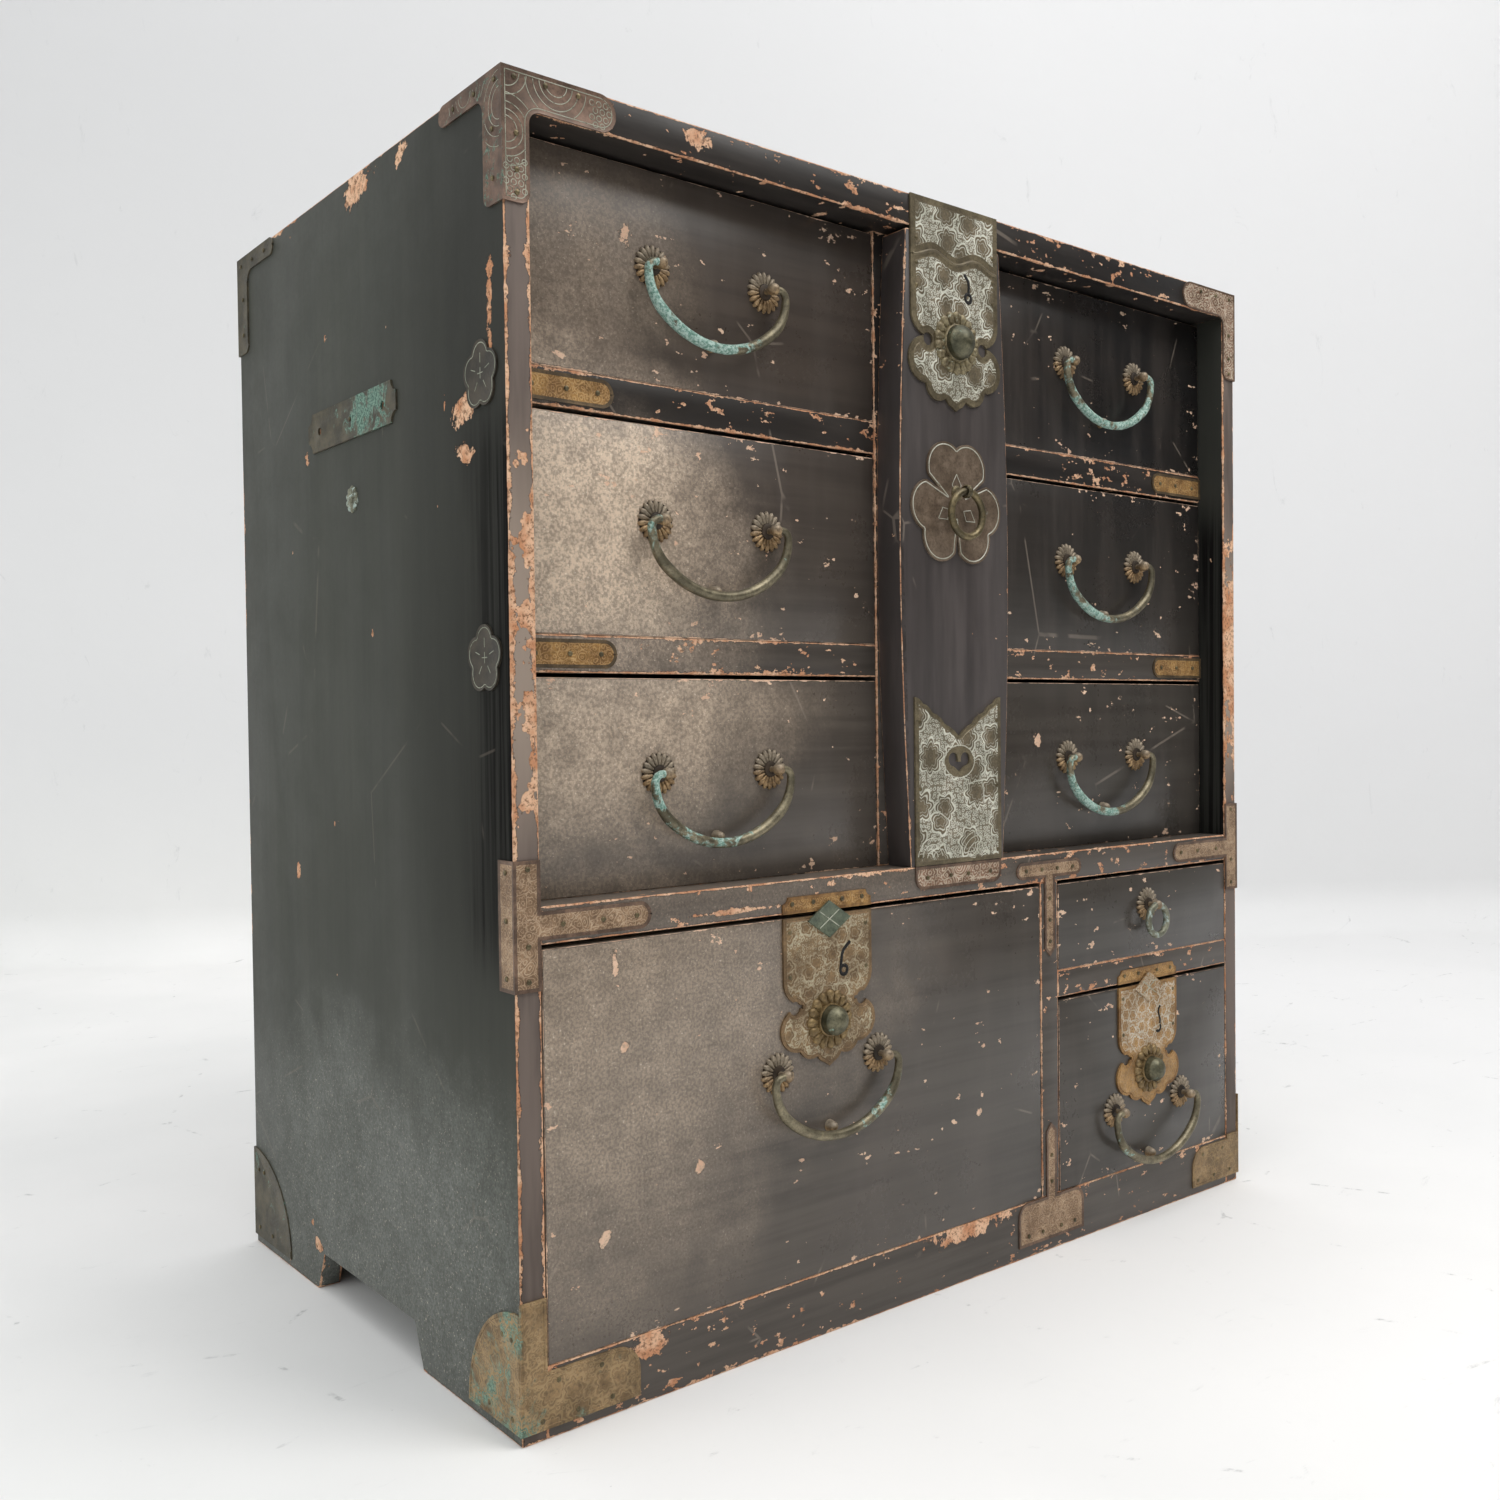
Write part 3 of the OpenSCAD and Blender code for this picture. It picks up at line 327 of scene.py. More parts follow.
def newPaint(name):
    paint = bpy.data.materials.new(name)
    paint.use_nodes = True
    tree = paint.node_tree
    point = addNode(tree, "ShaderNodeTexCoord", {}).outputs["Object"]
    return paint, tree.nodes["Principled BSDF"], Field(point)


def wire(shader, height=None, strength=0.5, distance=0.0003, **fields):
    # links the fields to the shader, and the height as its bump
    ends = {"Base Color": fields["colour"], "Roughness": fields["gloss"], "Metallic": fields.get("metallic")}
    if height:
        inputs = {"Strength": strength, "Distance": distance, "Height": height}
        ends["Normal"] = field("ShaderNodeBump", inputs)
    for key, end in ends.items():
        if end:
            end.socket.id_data.links.new(end.socket, shader.inputs[key])


def edgeDistance(point):
    # edgeA and edgeB hold the ways to the four edges of the board's face
    left, right, low = split(attribute(point, "edgeA", "Vector"))
    high = split(attribute(point, "edgeB", "Vector"))[0]
    return smaller(smaller(left, right), smaller(low, high))


def rawWood(point):
    # bare wood under the lacquer: pale tan and pink, with brown dirt in it
    colour = mix(ramp(noise(point, 70, 3.0), 0.36, 0.64), (196, 140, 104), (226, 186, 154))
    return mix(ramp(noise(point, 350, 4.0, 0.7), 0.64, 0.48), (132, 96, 72), colour)


def scratchLines(point):
    # pieces of long straight hair lines
    shown = ramp(noise(point, 14, 3.0, 0.6, shift=(1, 8, 2)), 0.56, 0.62)
    return ramp(cells(point, 7.0, feature="DISTANCE_TO_EDGE"), 0.008, 0.003) * shown


def lacquer(name, look):
    # old lacquer with worn edges and chips down to the wood
    paint, shader, point = newPaint(name)
    x, y, z = split(point)
    grit = noise(point, 260, 4.0, 0.65)
    cloud = noise(point, 9, 4.0, 0.6)
    grain = noise(point, 12, 5.0, 0.6, look["grain"])
    brushed = noise(point, 34, 4.0, 0.6, look.get("brush", (1, 1, 0.12)))

    # colour from left to right and downwards, painted light and shade: lighter on the left and darker on the
    # right as the light falls across, and lighter low as a painted reflection of the pale floor; then the dust
    # and sheen patches
    colour = mix(ramp(x + (cloud - 0.5) * 0.22, -0.37, 0.30), look["left"], look["right"])
    if "low" in look:
        tone, share = look["low"]
        colour = mix(ramp(cloud * 0.10 + z, 0.76, 0.46, 0.0, share), colour, tone)
    colour = mix(ramp(grain, 0.35, 0.75, 0.0, 0.45), colour, look["streak"])
    colour = mix(ramp(brushed, 0.42, 0.70, 0.0, look.get("brushed", 0.25)), colour,
                 look.get("brushColor", (92, 84, 78)))
    if "dark" in look:
        # a darker, glossier zone near the front edge, ragged along its inner side and streaked: painted shade;
        # higher than about 0.3 m the side also darkens towards its front over a wider band, painted shade too
        middle, half, edge, deep = look["dark"]
        tall = ramp(abs(z - middle), half + 0.03, half - 0.03)
        side = ramp(brushed * 0.06 + y, edge + deep, edge - 0.004)
        dark = tall * side * ramp(noise(point, 70, 3.0, 0.6, (1, 3, 0.05)), 0.36, 0.60, 0.45, 1.0)
        shade = ramp(y, edge + 0.20, edge - 0.01, 0.0, 0.5) * ramp(z, 0.20, 0.36)
        colour = mix(dark, mix(shade, colour, (24, 22, 20)), (12, 10, 9))
    # pale patches with flecks, part dust and part painted reflection of the room's light in the lacquer
    dustAndSheen = strongest(point, look.get("dustAndSheen", []), (cloud - 0.5) * 1.1)
    if dustAndSheen:
        mottle = noise(point, 55, 5.0, 0.65, shift=(2, 6, 9))
        speck = noise(point, 480, 3.0, 0.65)
        dustAndSheen = dustAndSheen * (ramp(speck, 0.36, 0.64, 0.58, 1.22) * ramp(mottle, 0.32, 0.68, 0.74, 1.14))
        colour = mix(dustAndSheen, colour, look["dustAndSheenColor"])
        flecks = ramp(noise(point, 640, 2.0, 0.6, shift=(4, 1, 3)), 0.63, 0.70) * dustAndSheen
        colour = mix(flecks, colour, (240, 226, 206))
    colour = mix(scratchLines(point) * look.get("scratched", 0.3), colour, (168, 154, 140))

    # wear, as a depth in about millimetres that is above 0 where the lacquer is gone
    away = edgeDistance(point)
    wobble = noise(point, look.get("wobble", 95), 5.0, 0.7, warp=0.4)
    area = noise(point, 11, 3.0, 0.6, shift=(3, 5, 1))
    reach = ramp(area, 0.38, 0.72, look["edgeMin"], look["edgeMax"]) * ramp(x, 0.30, -0.38, 0.55, 1.0)
    chipAt = look["chipAt"]
    if "front" in look:
        # the narrow front face of the board: paler, and worn far in from both edges
        front = ramp(y, frontFace + 0.0006, frontFace + 0.0001)
        pale = ramp(abs(z - 0.50), 0.16, 0.04)
        stile = mix(ramp(brushed, 0.35, 0.65), *look["front"])
        colour = mix(front, colour, mix(pale * 0.75, stile, (168, 152, 138)))
        reach = front * (pale * 0.0022 + 0.0014) + reach
        chipAt = chipAt - front * (pale * 0.235 + 0.035)
    bite = larger(reach * (wobble * 4.6 - 1.65), ramp(wobble, 0.25, 0.6, 0.3, 1.0) * look["line"])
    chips = noise(point, look["chipScale"], 3.0, 0.62, look.get("chipShape", (0.7, 0.7, 1.2)), (7, 2, 4))
    chips = chips + area * 0.28 + ramp(away, 0.020, 0.0, 0.0, 0.05) - chipAt
    depth = larger((bite - away) * 1000.0, chips * 90.0)
    ragged = wobble * 4.4 - 2.2
    for middle, half in look.get("chips", []):
        depth = larger(depth, (1.0 - (farFrom(point, middle, half) + ragged)) * 3.0)
    worn = ramp(depth, -0.12, 0.25)
    colour = mix(ramp(depth, -0.55, -0.1, 0.0, 0.75) * (1.0 - worn), colour, (34, 26, 22))
    bare = rawWood(point)
    if "bareTone" in look:
        tone, share = look["bareTone"]
        bare = mix(share, bare, tone)

    gloss = ramp(cloud, 0.3, 0.7, *look["rough"]) + grit * 0.10
    if dustAndSheen:
        gloss = gloss + dustAndSheen * 0.25
    if "dark" in look:
        gloss = gloss + dark * 0.22
    wire(shader, grain * 0.25 + grit * 0.10 - worn * 0.8, distance=0.0006, colour=mix(worn, colour, bare),
         gloss=larger(gloss, worn * 0.75))
    shader.inputs["Specular IOR Level"].default_value = look.get("shine", 0.5)
    return paint


def plainWood(name, look):
    # unfinished wood of the drawer boxes and the inside
    paint, shader, point = newPaint(name)
    grain = noise(point, 9, 6.0, 0.6, look["grain"], warp=0.6)
    fibre = noise(point, 60, 3.0, 0.7, look["grain"])
    stain = noise(point, 5, 3.0, 0.5)
    colour = mix(ramp(grain, 0.35, 0.68), look["dark"], look["light"])
    colour = mix(ramp(fibre, 0.45, 0.75, 0.0, 0.35), colour, look["pore"])
    colour = mix(ramp(stain, 0.5, 0.75, 0.0, 0.5), colour, look["stain"])
    wire(shader, fibre, 0.35, 0.0005, colour=colour, gloss=ramp(fibre, 0.3, 0.7, 0.62, 0.82))
    return paint


def scatter(point, cell, scattered, bendScale, bend):
    # middles scattered over the front and the sides: the flat point, and from the nearest middle its random
    # number, the angle and the distance, and last how far the border to the next middle is
    x, y, z = split(point)
    bent = noise(point, bendScale, 2.0) * bend - bend / 2
    flat = field("ShaderNodeCombineXYZ", {0: x + y + bent, 1: z + bent})
    inputs = {"Vector": flat, "Scale": 1 / cell, "Randomness": scattered}
    found = addNode(flat.socket.id_data, "ShaderNodeTexVoronoi", inputs, voronoi_dimensions="2D").outputs
    local = field("ShaderNodeVectorMath", {0: flat, 1: Field(found["Position"])}, operation="SUBTRACT")
    kind = field("ShaderNodeSeparateColor", {0: Field(found["Color"])})
    u, v, _w = split(local)
    walls = cells(flat, 1 / cell, scattered, voronoi_dimensions="2D", feature="DISTANCE_TO_EDGE")
    return flat, kind, calc("ARCTAN2", v, u), lengthOf(local), walls


def lobes(kind, angle, most):
    # 5 petals and up, as a number from 0 between two petals to 1 on a petal
    petals = calc("FLOOR", kind * most) + 5.0
    return abs(calc("COSINE", angle * (petals * 0.5)))


def engravedLines(point, cell, gap, wide):
    # lines round scattered middles: scalloped flowers, plain rings like waves, and a line between them
    _flat, kind, angle, away, walls = scatter(point, cell, 0.8, 90, 0.006)
    scallop = lobes(kind, angle, 5.0) * ramp(kind, 0.25, 0.35, 0.0, 0.36)
    saw = calc("PINGPONG", away * (1.25 - scallop), gap / 2) / (gap / 2)
    return larger(ramp(saw, 1 - wide * 1.5, 1 - wide * 0.6), ramp(walls, 0.05, 0.02))


def cloudLines(point, cell):
    # scattered scalloped clouds with bold rims, faint rings inside and dots between them
    flat, kind, angle, away, walls = scatter(point, cell, 0.75, 70, 0.008)
    off = (kind * 0.12 + 0.36) * cell - away * (1.20 - lobes(kind, angle, 4.0) * 0.32)
    rim = ramp(abs(off), 0.0010, 0.0006)
    inside = ramp(off, -0.0002, 0.0004)
    rings = ramp(calc("PINGPONG", off, 0.0014), 0.0006, 0.0003) * ramp(off, 0.0015, cell * 0.30, 0.90, 0.05)
    walls = ramp(walls * cell, 0.0006, 0.0003, 0.0, 0.9) * inside
    beads = cells(flat, 300.0, 0.5, voronoi_dimensions="2D")
    dots = ramp(abs(beads - 0.30), 0.16, 0.06, 0.12, 0.85) * (1.0 - inside)
    return larger(rim, larger(dots, larger(rings, walls) * inside))


def metal(name, look):
    # aged metal: two tones of the metal, a patina in patches and dirt in the hollows
    paint, shader, point = newPaint(name)
    tone = noise(point, look.get("toneScale", 60), 4.0, 0.65)
    grit = noise(point, 520, 4.0, 0.7)
    patch = noise(point, look.get("patchScale", 120), 5.0, 0.7, shift=(2, 9, 5), warp=0.5)
    colour = mix(ramp(tone, 0.35, 0.68), look["low"], look["high"])
    if "above" in look:
        # the mesh keeps how high on its own piece a place lies, from -1 to 1; the upper parts are made paler, a
        # painted highlight of light from above
        colour = mix(ramp(attribute(point, "height", "Fac"), -0.35, 0.35, 0.0, 0.85), colour, look["above"])
    colour = mix(ramp(grit, 0.60, 0.30, 0.0, 0.55), colour, look["dirt"])
    near = strongest(point, look.get("zones", []), 0.0)
    if near:
        # places where the patina is at home
        patch = patch + near
    patina = ramp(patch, look["patinaAt"], look["patinaAt"] + look.get("patinaSoft", 0.06))
    colour = mix(patina, colour, mix(ramp(grit, 0.38, 0.62), look["patina"], look["crust"]))
    lines = None
    if "lines" in look:
        lineColors, cell, gap, wide, kept = look["lines"]
        lines = engravedLines(point, cell * mm, gap * mm, wide) if gap else cloudLines(point, cell * mm)
        lines = lines * ramp(patch, 0.30, 0.62, kept, 1.0)
        if "linesFrom" in look:
            start = look["linesFrom"]
            lines = lines * ramp(tone * 0.02 + split(point)[2], start - 0.004, start + 0.012, 0.12, 1.0)
        colour = mix(lines, colour, mix(ramp(tone, 0.35, 0.65), *lineColors))
        patina = larger(patina, lines)
    height = grit * 0.4 + patina * 0.6
    if lines:
        height = height - lines * 1.2
    wire(shader, height, colour=colour, gloss=larger(ramp(grit, 0.3, 0.7, *look["rough"]), patina * 0.8),
         metallic=ramp(patina, 0.0, 1.0, look["metallic"], 0.05))
    return paint


def paste(name, low, high, worn, goneAt):
    # pale dirt and polish left in the engraved lines, with worn metal where it is gone
    paint, shader, point = newPaint(name)
    gone = noise(point, 240, 4.0, 0.7)
    colour = mix(ramp(noise(point, 35, 3.0, 0.6), 0.35, 0.65), low, high)
    colour = mix(ramp(gone, goneAt - 0.06, goneAt + 0.04), colour, worn)
    wire(shader, gone, 0.4, 0.0002, colour=colour, gloss=ramp(gone, 0.3, 0.7, 0.6, 0.85))
    return paint


# Camera, light and room

camera = {"place": (-0.82125, -0.98813, 0.44973), "lens": 33.858, "sensor": 36, "yaw": 38.822, "down": 1.2126,
          "roll": -0.6773}


def addCamera():
    yaw, down, roll = (radians(camera[k]) for k in ("yaw", "down", "roll"))
    ahead = Vector((sin(yaw) * cos(down), cos(yaw) * cos(down), -sin(down)))
    level = Vector((cos(yaw), -sin(yaw), 0))
    up = level.cross(ahead)
    right = cos(roll) * level + sin(roll) * up
    top = cos(roll) * up - sin(roll) * level
    turn = Matrix((right, top, -ahead)).transposed()
    bpy.ops.object.camera_add(location=camera["place"], rotation=turn.to_euler())
    eye = bpy.context.object
    eye.data.lens = camera["lens"]
    eye.data.sensor_width = camera["sensor"]
    scene.camera = eye


room = {"wallAway": 2.82, "wallTurn": 34, "wide": 12, "high": 4.5, "cove": 0.10,
        "floor": (240, 239, 238), "floorLow": (230, 230, 229)}


def roomPaint(name, low, high, scuffs):
    paint, shader, point = newPaint(name)
    x, y, z = split(point)
    cloud = noise(point, 1.1, 4.0, 0.55)
    fine = noise(point, 26, 5.0, 0.7)
    scuff = noise(point, 9, 6.0, 0.75, (1, 3.5, 1), warp=1.2)
    colour = mix(ramp(cloud, 0.35, 0.65), low, high)
    colour = mix(ramp(fine, 0.55, 0.8, 0.0, 0.25), colour, low)
    # painted shade: the wall darkens upwards and the room towards its right, where the light falls off
    colour = mix(ramp(z, 0.05, 0.5, 0.0, 0.75), colour, (221, 221, 222))
    colour = mix(ramp(z, 0.6, 1.9, 0.0, 0.8), colour, (208, 208, 209))
    colour = mix(ramp(x - y * 0.3, 0.3, 1.3, 0.0, 0.6), colour, (220, 220, 221))
    # scuffs and hair cracks of the painted floor
    cracks = ramp(cells(point, 5.0, feature="DISTANCE_TO_EDGE"), 0.012, 0.004) * ramp(fine, 0.50, 0.60)
    marks = larger(cracks, ramp(noise(point, 110, 3.0, 0.7), 0.70, 0.76)) * ramp(scuff, 0.50, 0.62, 0.0, 0.45)
    colour = mix(marks * ramp(z, 0.06, 0.0), colour, (128, 130, 132))
    colour = mix(ramp(scuff, 0.62, 0.78, 0.0, scuffs), colour, (160, 162, 164))
    wire(shader, fine, 0.15, 0.002, colour=colour, gloss=ramp(cloud, 0.3, 0.7, 0.55, 0.75))
    shader.inputs["Specular IOR Level"].default_value = 0.25
    return paint


def addRoom():
    # one floor sheet whose far edge is pulled up into the wall, with a rounded corner
    yaw = radians(room["wallTurn"])
    foot = Vector(camera["place"]) + Vector((sin(yaw), cos(yaw), 0)) * room["wallAway"]
    bpy.ops.mesh.primitive_plane_add(size=room["wide"], location=(0, -room["wide"] / 2, 0))
    floor = settle(bpy.context.object)
    floor.name = "roomFloor"
    openMesh(floor, "EDGE")
    pick(floor, "edges", lambda e: all(v.co.y > -0.01 for v in e.verts))
    extrude(0, 0, room["high"])
    pick(floor, "edges", lambda e: all(abs(v.co.y) < 0.01 and v.co.z < 0.01 for v in e.verts))
    bpy.ops.mesh.bevel(offset=room["cove"], segments=8, affect="EDGES")
    closeMesh()
    floor.data.transform(Matrix.Translation((foot.x, foot.y, 0)) @ Matrix.Rotation(-yaw, 4, "Z"))
    floor.data.materials.append(roomPaint("palePaintedRoom", room["floorLow"], room["floor"], 0.35))
    smoothShade(floor)
    print("room built")


lamps = [
    # name, place, aim, size, power, colour
    ("windowHigh", (1.2, -2.2, 3.4), (0.0, -0.1, 0.45), 1.9, 70, (1.0, 0.985, 0.96)),
    ("ceiling", (-0.3, -0.5, 3.6), (0.0, 0.0, 0.3), 3.2, 60, (1.0, 1.0, 1.0)),
    ("leftFill", (-3.0, 0.3, 1.5), (-0.3, 0.0, 0.5), 1.8, 16, (0.93, 1.0, 0.98)),
]


def addLight():
    for name, place, aim, size, power, colour in lamps:
        bpy.ops.object.light_add(type="AREA", location=place)
        lamp = bpy.context.object
        lamp.name = name
        lamp.rotation_euler = (Vector(aim) - Vector(place)).to_track_quat("-Z", "Y").to_euler()
        lamp.data.size = size
        lamp.data.energy = power
        lamp.data.color = colour
    # the sky is pale, and dim where the polished front mirrors the dark side of the room
    world = bpy.data.worlds.new("paleSky")
    world.use_nodes = True
    scene.world = world
    tree = world.node_tree
    ray = Field(addNode(tree, "ShaderNodeTexCoord", {}).outputs["Generated"])
    turn = field("ShaderNodeVectorMath", {0: ray, 1: (0.80, -0.60, -0.10)}, "Value", operation="DOT_PRODUCT")
    back = tree.nodes["Background"]
    back.inputs["Color"].default_value = (0.97, 0.985, 1.0, 1)
    tree.links.new(ramp(turn, 0.0, 0.70, 0.66, 0.06).socket, back.inputs["Strength"])
    scene.view_settings.view_transform = "Standard"
    print("light set")


addCamera()
addRoom()
addLight()


# Wood

def onFront(y, deep, *spots):
    # patches on a front face, from x, z, half width, half height and, where one counts, a strength
    return [((x, y, z), (wide, deep, high), *more) for x, z, wide, high, *more in spots]


def onSide(*spots):
    return [((sideFace, y, z), (0.1, wide, high)) for y, z, wide, high in spots]


# left, right and low paint light and shade by place: lighter on the left, darker on the right, lighter towards
# the bottom
woodTones = {
    "front": {"left": (84, 74, 66), "right": (25, 24, 24), "streak": (40, 34, 31), "grain": (0.35, 1, 9),
              "low": ((100, 94, 86), 0.4), "bareTone": ((232, 208, 184), 0.45), "dustAndSheenColor": (218, 196, 172),
              "edgeMin": 0.0003, "edgeMax": 0.0020, "line": 0.0006, "chipAt": 0.846, "chipScale": 105,
              "rough": (0.20, 0.32),
              "chips": onFront(-0.223, 0.1, (-0.3203, 0.2947, 0.0028, 0.0085),
                               (-0.3133, 0.2382, 0.0030, 0.0030), (-0.3305, 0.1148, 0.0035, 0.0045),
                               (-0.2535, 0.1470, 0.0035, 0.0040), (0.0268, 0.1334, 0.0030, 0.0030))
              + onFront(-0.197, 0.02, (-0.2868, 0.7759, 0.0040, 0.0070), (0.1330, 0.4300, 0.0040, 0.0045)),
              # pale patches on the left drawers and rails: part dust, part painted reflection of the room's light
              "dustAndSheen": onFront(-0.197, 0.5, (-0.340, 0.755, 0.110, 0.085, 0.24),
                              (-0.405, 0.585, 0.230, 0.120, 0.92), (-0.345, 0.440, 0.205, 0.095, 0.56))
              + onFront(-0.223, 0.5, (-0.380, 0.235, 0.280, 0.170, 0.36))},
    "frame": {"left": (42, 38, 35), "right": (30, 28, 27), "streak": (34, 30, 28), "grain": (0.5, 1, 9),
              "low": ((112, 104, 96), 0.5), "dustAndSheenColor": (196, 176, 156), "edgeMin": 0.0009, "edgeMax": 0.0036,
              "line": 0.0014, "chipAt": 0.815, "chipScale": 120, "brush": (0.12, 1, 1), "rough": (0.28, 0.42),
              "shine": 0.34,
              "chips": onFront(-0.223, 0.1, (0.0150, 0.0425, 0.0400, 0.0085),
                               (-0.2963, 0.0372, 0.0120, 0.0070), (-0.2195, 0.3178, 0.0380, 0.0016),
                               (-0.2466, 0.8409, 0.0110, 0.0050)),
              "dustAndSheen": onFront(-0.197, 0.05, (-0.400, 0.520, 0.200, 0.140, 0.55))
              + onFront(-0.223, 0.05, (-0.200, 0.328, 0.300, 0.030, 0.16))},
    "bar": {"left": (62, 56, 54), "right": (70, 64, 62), "streak": (38, 34, 33), "brushed": 0.4,
            "brushColor": (104, 96, 94), "grain": (9, 1, 0.5), "edgeMin": 0.0006, "edgeMax": 0.0022,
            "line": 0.0009, "chipAt": 0.875, "chipScale": 90, "rough": (0.30, 0.42)},
    "side": {"left": (71, 72, 66), "right": (71, 72, 66), "streak": (63, 64, 60), "brushColor": (84, 84, 77),
             "front": ((84, 75, 70), (116, 104, 97)), "dark": (0.47, 0.17, -0.180, 0.060), "shine": 0.1,
             "grain": (1, 9, 0.5), "edgeMin": 0.0004, "edgeMax": 0.0030, "line": 0.0011, "chipAt": 0.90,
             "chipScale": 60, "chipShape": (1, 1, 0.7), "wobble": 60, "rough": (0.36, 0.50),
             "scratched": 0.12,
             "chips": onSide((-0.0076, 0.8418, 0.0170, 0.0110), (-0.0829, 0.8428, 0.0090, 0.0070),
                             (0.1279, 0.3327, 0.0030, 0.0060), (-0.1686, 0.6510, 0.0130, 0.0075),
                             (-0.1701, 0.6234, 0.0100, 0.0060), (-0.2040, 0.7095, 0.0035, 0.0220),
                             (0.0940, 0.6567, 0.0045, 0.0055), (0.1002, 0.0360, 0.0060, 0.0040),
                             (0.0763, 0.0232, 0.0080, 0.0040)),
             # lighter low on both sides: painted reflection of the floor's light
             "dustAndSheenColor": (150, 153, 148),
             "dustAndSheen": [((x, 0.0, 0.06), (0.5, 0.34, 0.17), 0.38) for x in (sideFace, -sideFace)]},
}
boxWood = {"grain": (9, 0.5, 9), "dark": (128, 98, 68), "light": (176, 142, 104), "pore": (100, 76, 54),
           "stain": (104, 84, 66)}
innerWood = {"grain": (0.22, 8, 14), "dark": (92, 75, 60), "light": (116, 95, 75), "pore": (66, 55, 46),
             "stain": (86, 74, 62)}
frontPaint, framePaint, barPaint, sidePaint = (lacquer(key + "Lacquer", woodTones[key]) for key in woodTones)
boxPaint = plainWood("drawerBoxWood", boxWood)
insidePaint = plainWood("insideWood", innerWood)
boards = {"softEdge": 0.0011, "longEdge": 0.014}


def markEdges(piece, halfWidth=None):
    # keeps on every corner how far it is from the four edges of its board's face
    bm = bmesh.new()
    bm.from_mesh(piece.data)
    a = bm.loops.layers.float_vector.new("edgeA")
    b = bm.loops.layers.float_vector.new("edgeB")
    for group in looseParts(bm):
        low, high = boxOf(group)
        for f in {f for v in group for f in v.link_faces}:
            axis = max(range(3), key=lambda i: abs(f.normal[i]))
            i, j = [k for k in range(3) if k != axis]
            for loop in f.loops:
                p = loop.vert.co
                near, far = p[i] - low[i], high[i] - p[i]
                if halfWidth and axis == 1:
                    half = halfWidth(p.z)
                    near, far = p.x - barMiddle + half, barMiddle + half - p.x
                loop[a] = (near, far, p[j] - low[j])
                loop[b] = (high[j] - p[j], 0, 0)
    bm.to_mesh(piece.data)
    bm.free()


def makeBoard(node, name, keep=None):
    # a board with its long edges rounded a little
    board = cadCopy(node, name, keep)
    openMesh(board, "EDGE")
    pick(board, "edges", lambda e: len(e.link_faces) == 2 and e.calc_face_angle(0) > radians(50)
         and e.calc_length() > boards["longEdge"])
    bpy.ops.mesh.bevel(offset=boards["softEdge"], segments=2, affect="EDGES", clamp_overlap=False)
    closeMesh()
    return board


def buildCase():
    names = {"top_board": "topBoard", "base_rails": "baseRails", "middle_rail": "middleRail",
             "dividers": "dividerRails", "centre_stile": "centreStile", "lower_post": "lowerPost",
             "side_left": "sideBoardLeft", "side_right": "sideBoardRight"}
    for node, name in names.items():
        board = makeBoard(node, name)
        markEdges(board)
        isSide = node.startswith("side")
        paintWith(board, sidePaint if isSide else framePaint)
        place(board, "case", "side_lacquer" if isSide else "front_lacquer", node, 35)
    for node in ("bottom_board", "back_panel", "drawer_shelves", "partitions"):
        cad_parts[node].data.materials[0] = insidePaint
    print("case built")


def barHalf(z):
    # half the lock bar's width at a height: it bows out between its ends
    return 0.053 + 0.0088 * sin(pi * min(max((z - 0.335) / 0.488, 0), 1))


def buildBar():
    bar = makeBoard("lock_bar", "lockBar")
    markEdges(bar, barHalf)
    paintWith(bar, barPaint)
    place(bar, "bar", "front_lacquer", "lock_bar", 35)
    print("lock bar built")


# Each drawer's key in the CAD, and what its pieces are called
drawers = {
    "left_top": "LeftTop", "left_middle": "LeftMiddle", "left_bottom": "LeftBottom",
    "right_top": "RightTop", "right_middle": "RightMiddle", "right_bottom": "RightBottom",
    "big": "Big", "small": "Small", "ring": "Ring",
}


def buildDrawers():
    for key, name in drawers.items():
        node = "drawer_" + key
        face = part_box(node)[0].y
        front = makeBoard(node, "drawerFront" + name, lambda low, high: low.y < face + 0.001)
        markEdges(front)
        paintWith(front, frontPaint)
        place(front, node, "front_lacquer", node, 35)
        box = makeBoard(node, "drawerBox" + name, lambda low, high: low.y > face + 0.001)
        paintWith(box, boxPaint)
        place(box, node, "inner_wood", node, 35)
    print("drawers built")


buildCase()
buildBar()
buildDrawers()


# Metal

def alloy(low, high, dirt, patina, crust, patinaAt, rough, metallic, **more):
    return {"low": low, "high": high, "dirt": dirt, "patina": patina, "crust": crust, "patinaAt": patinaAt,
            "rough": rough, "metallic": metallic, **more}


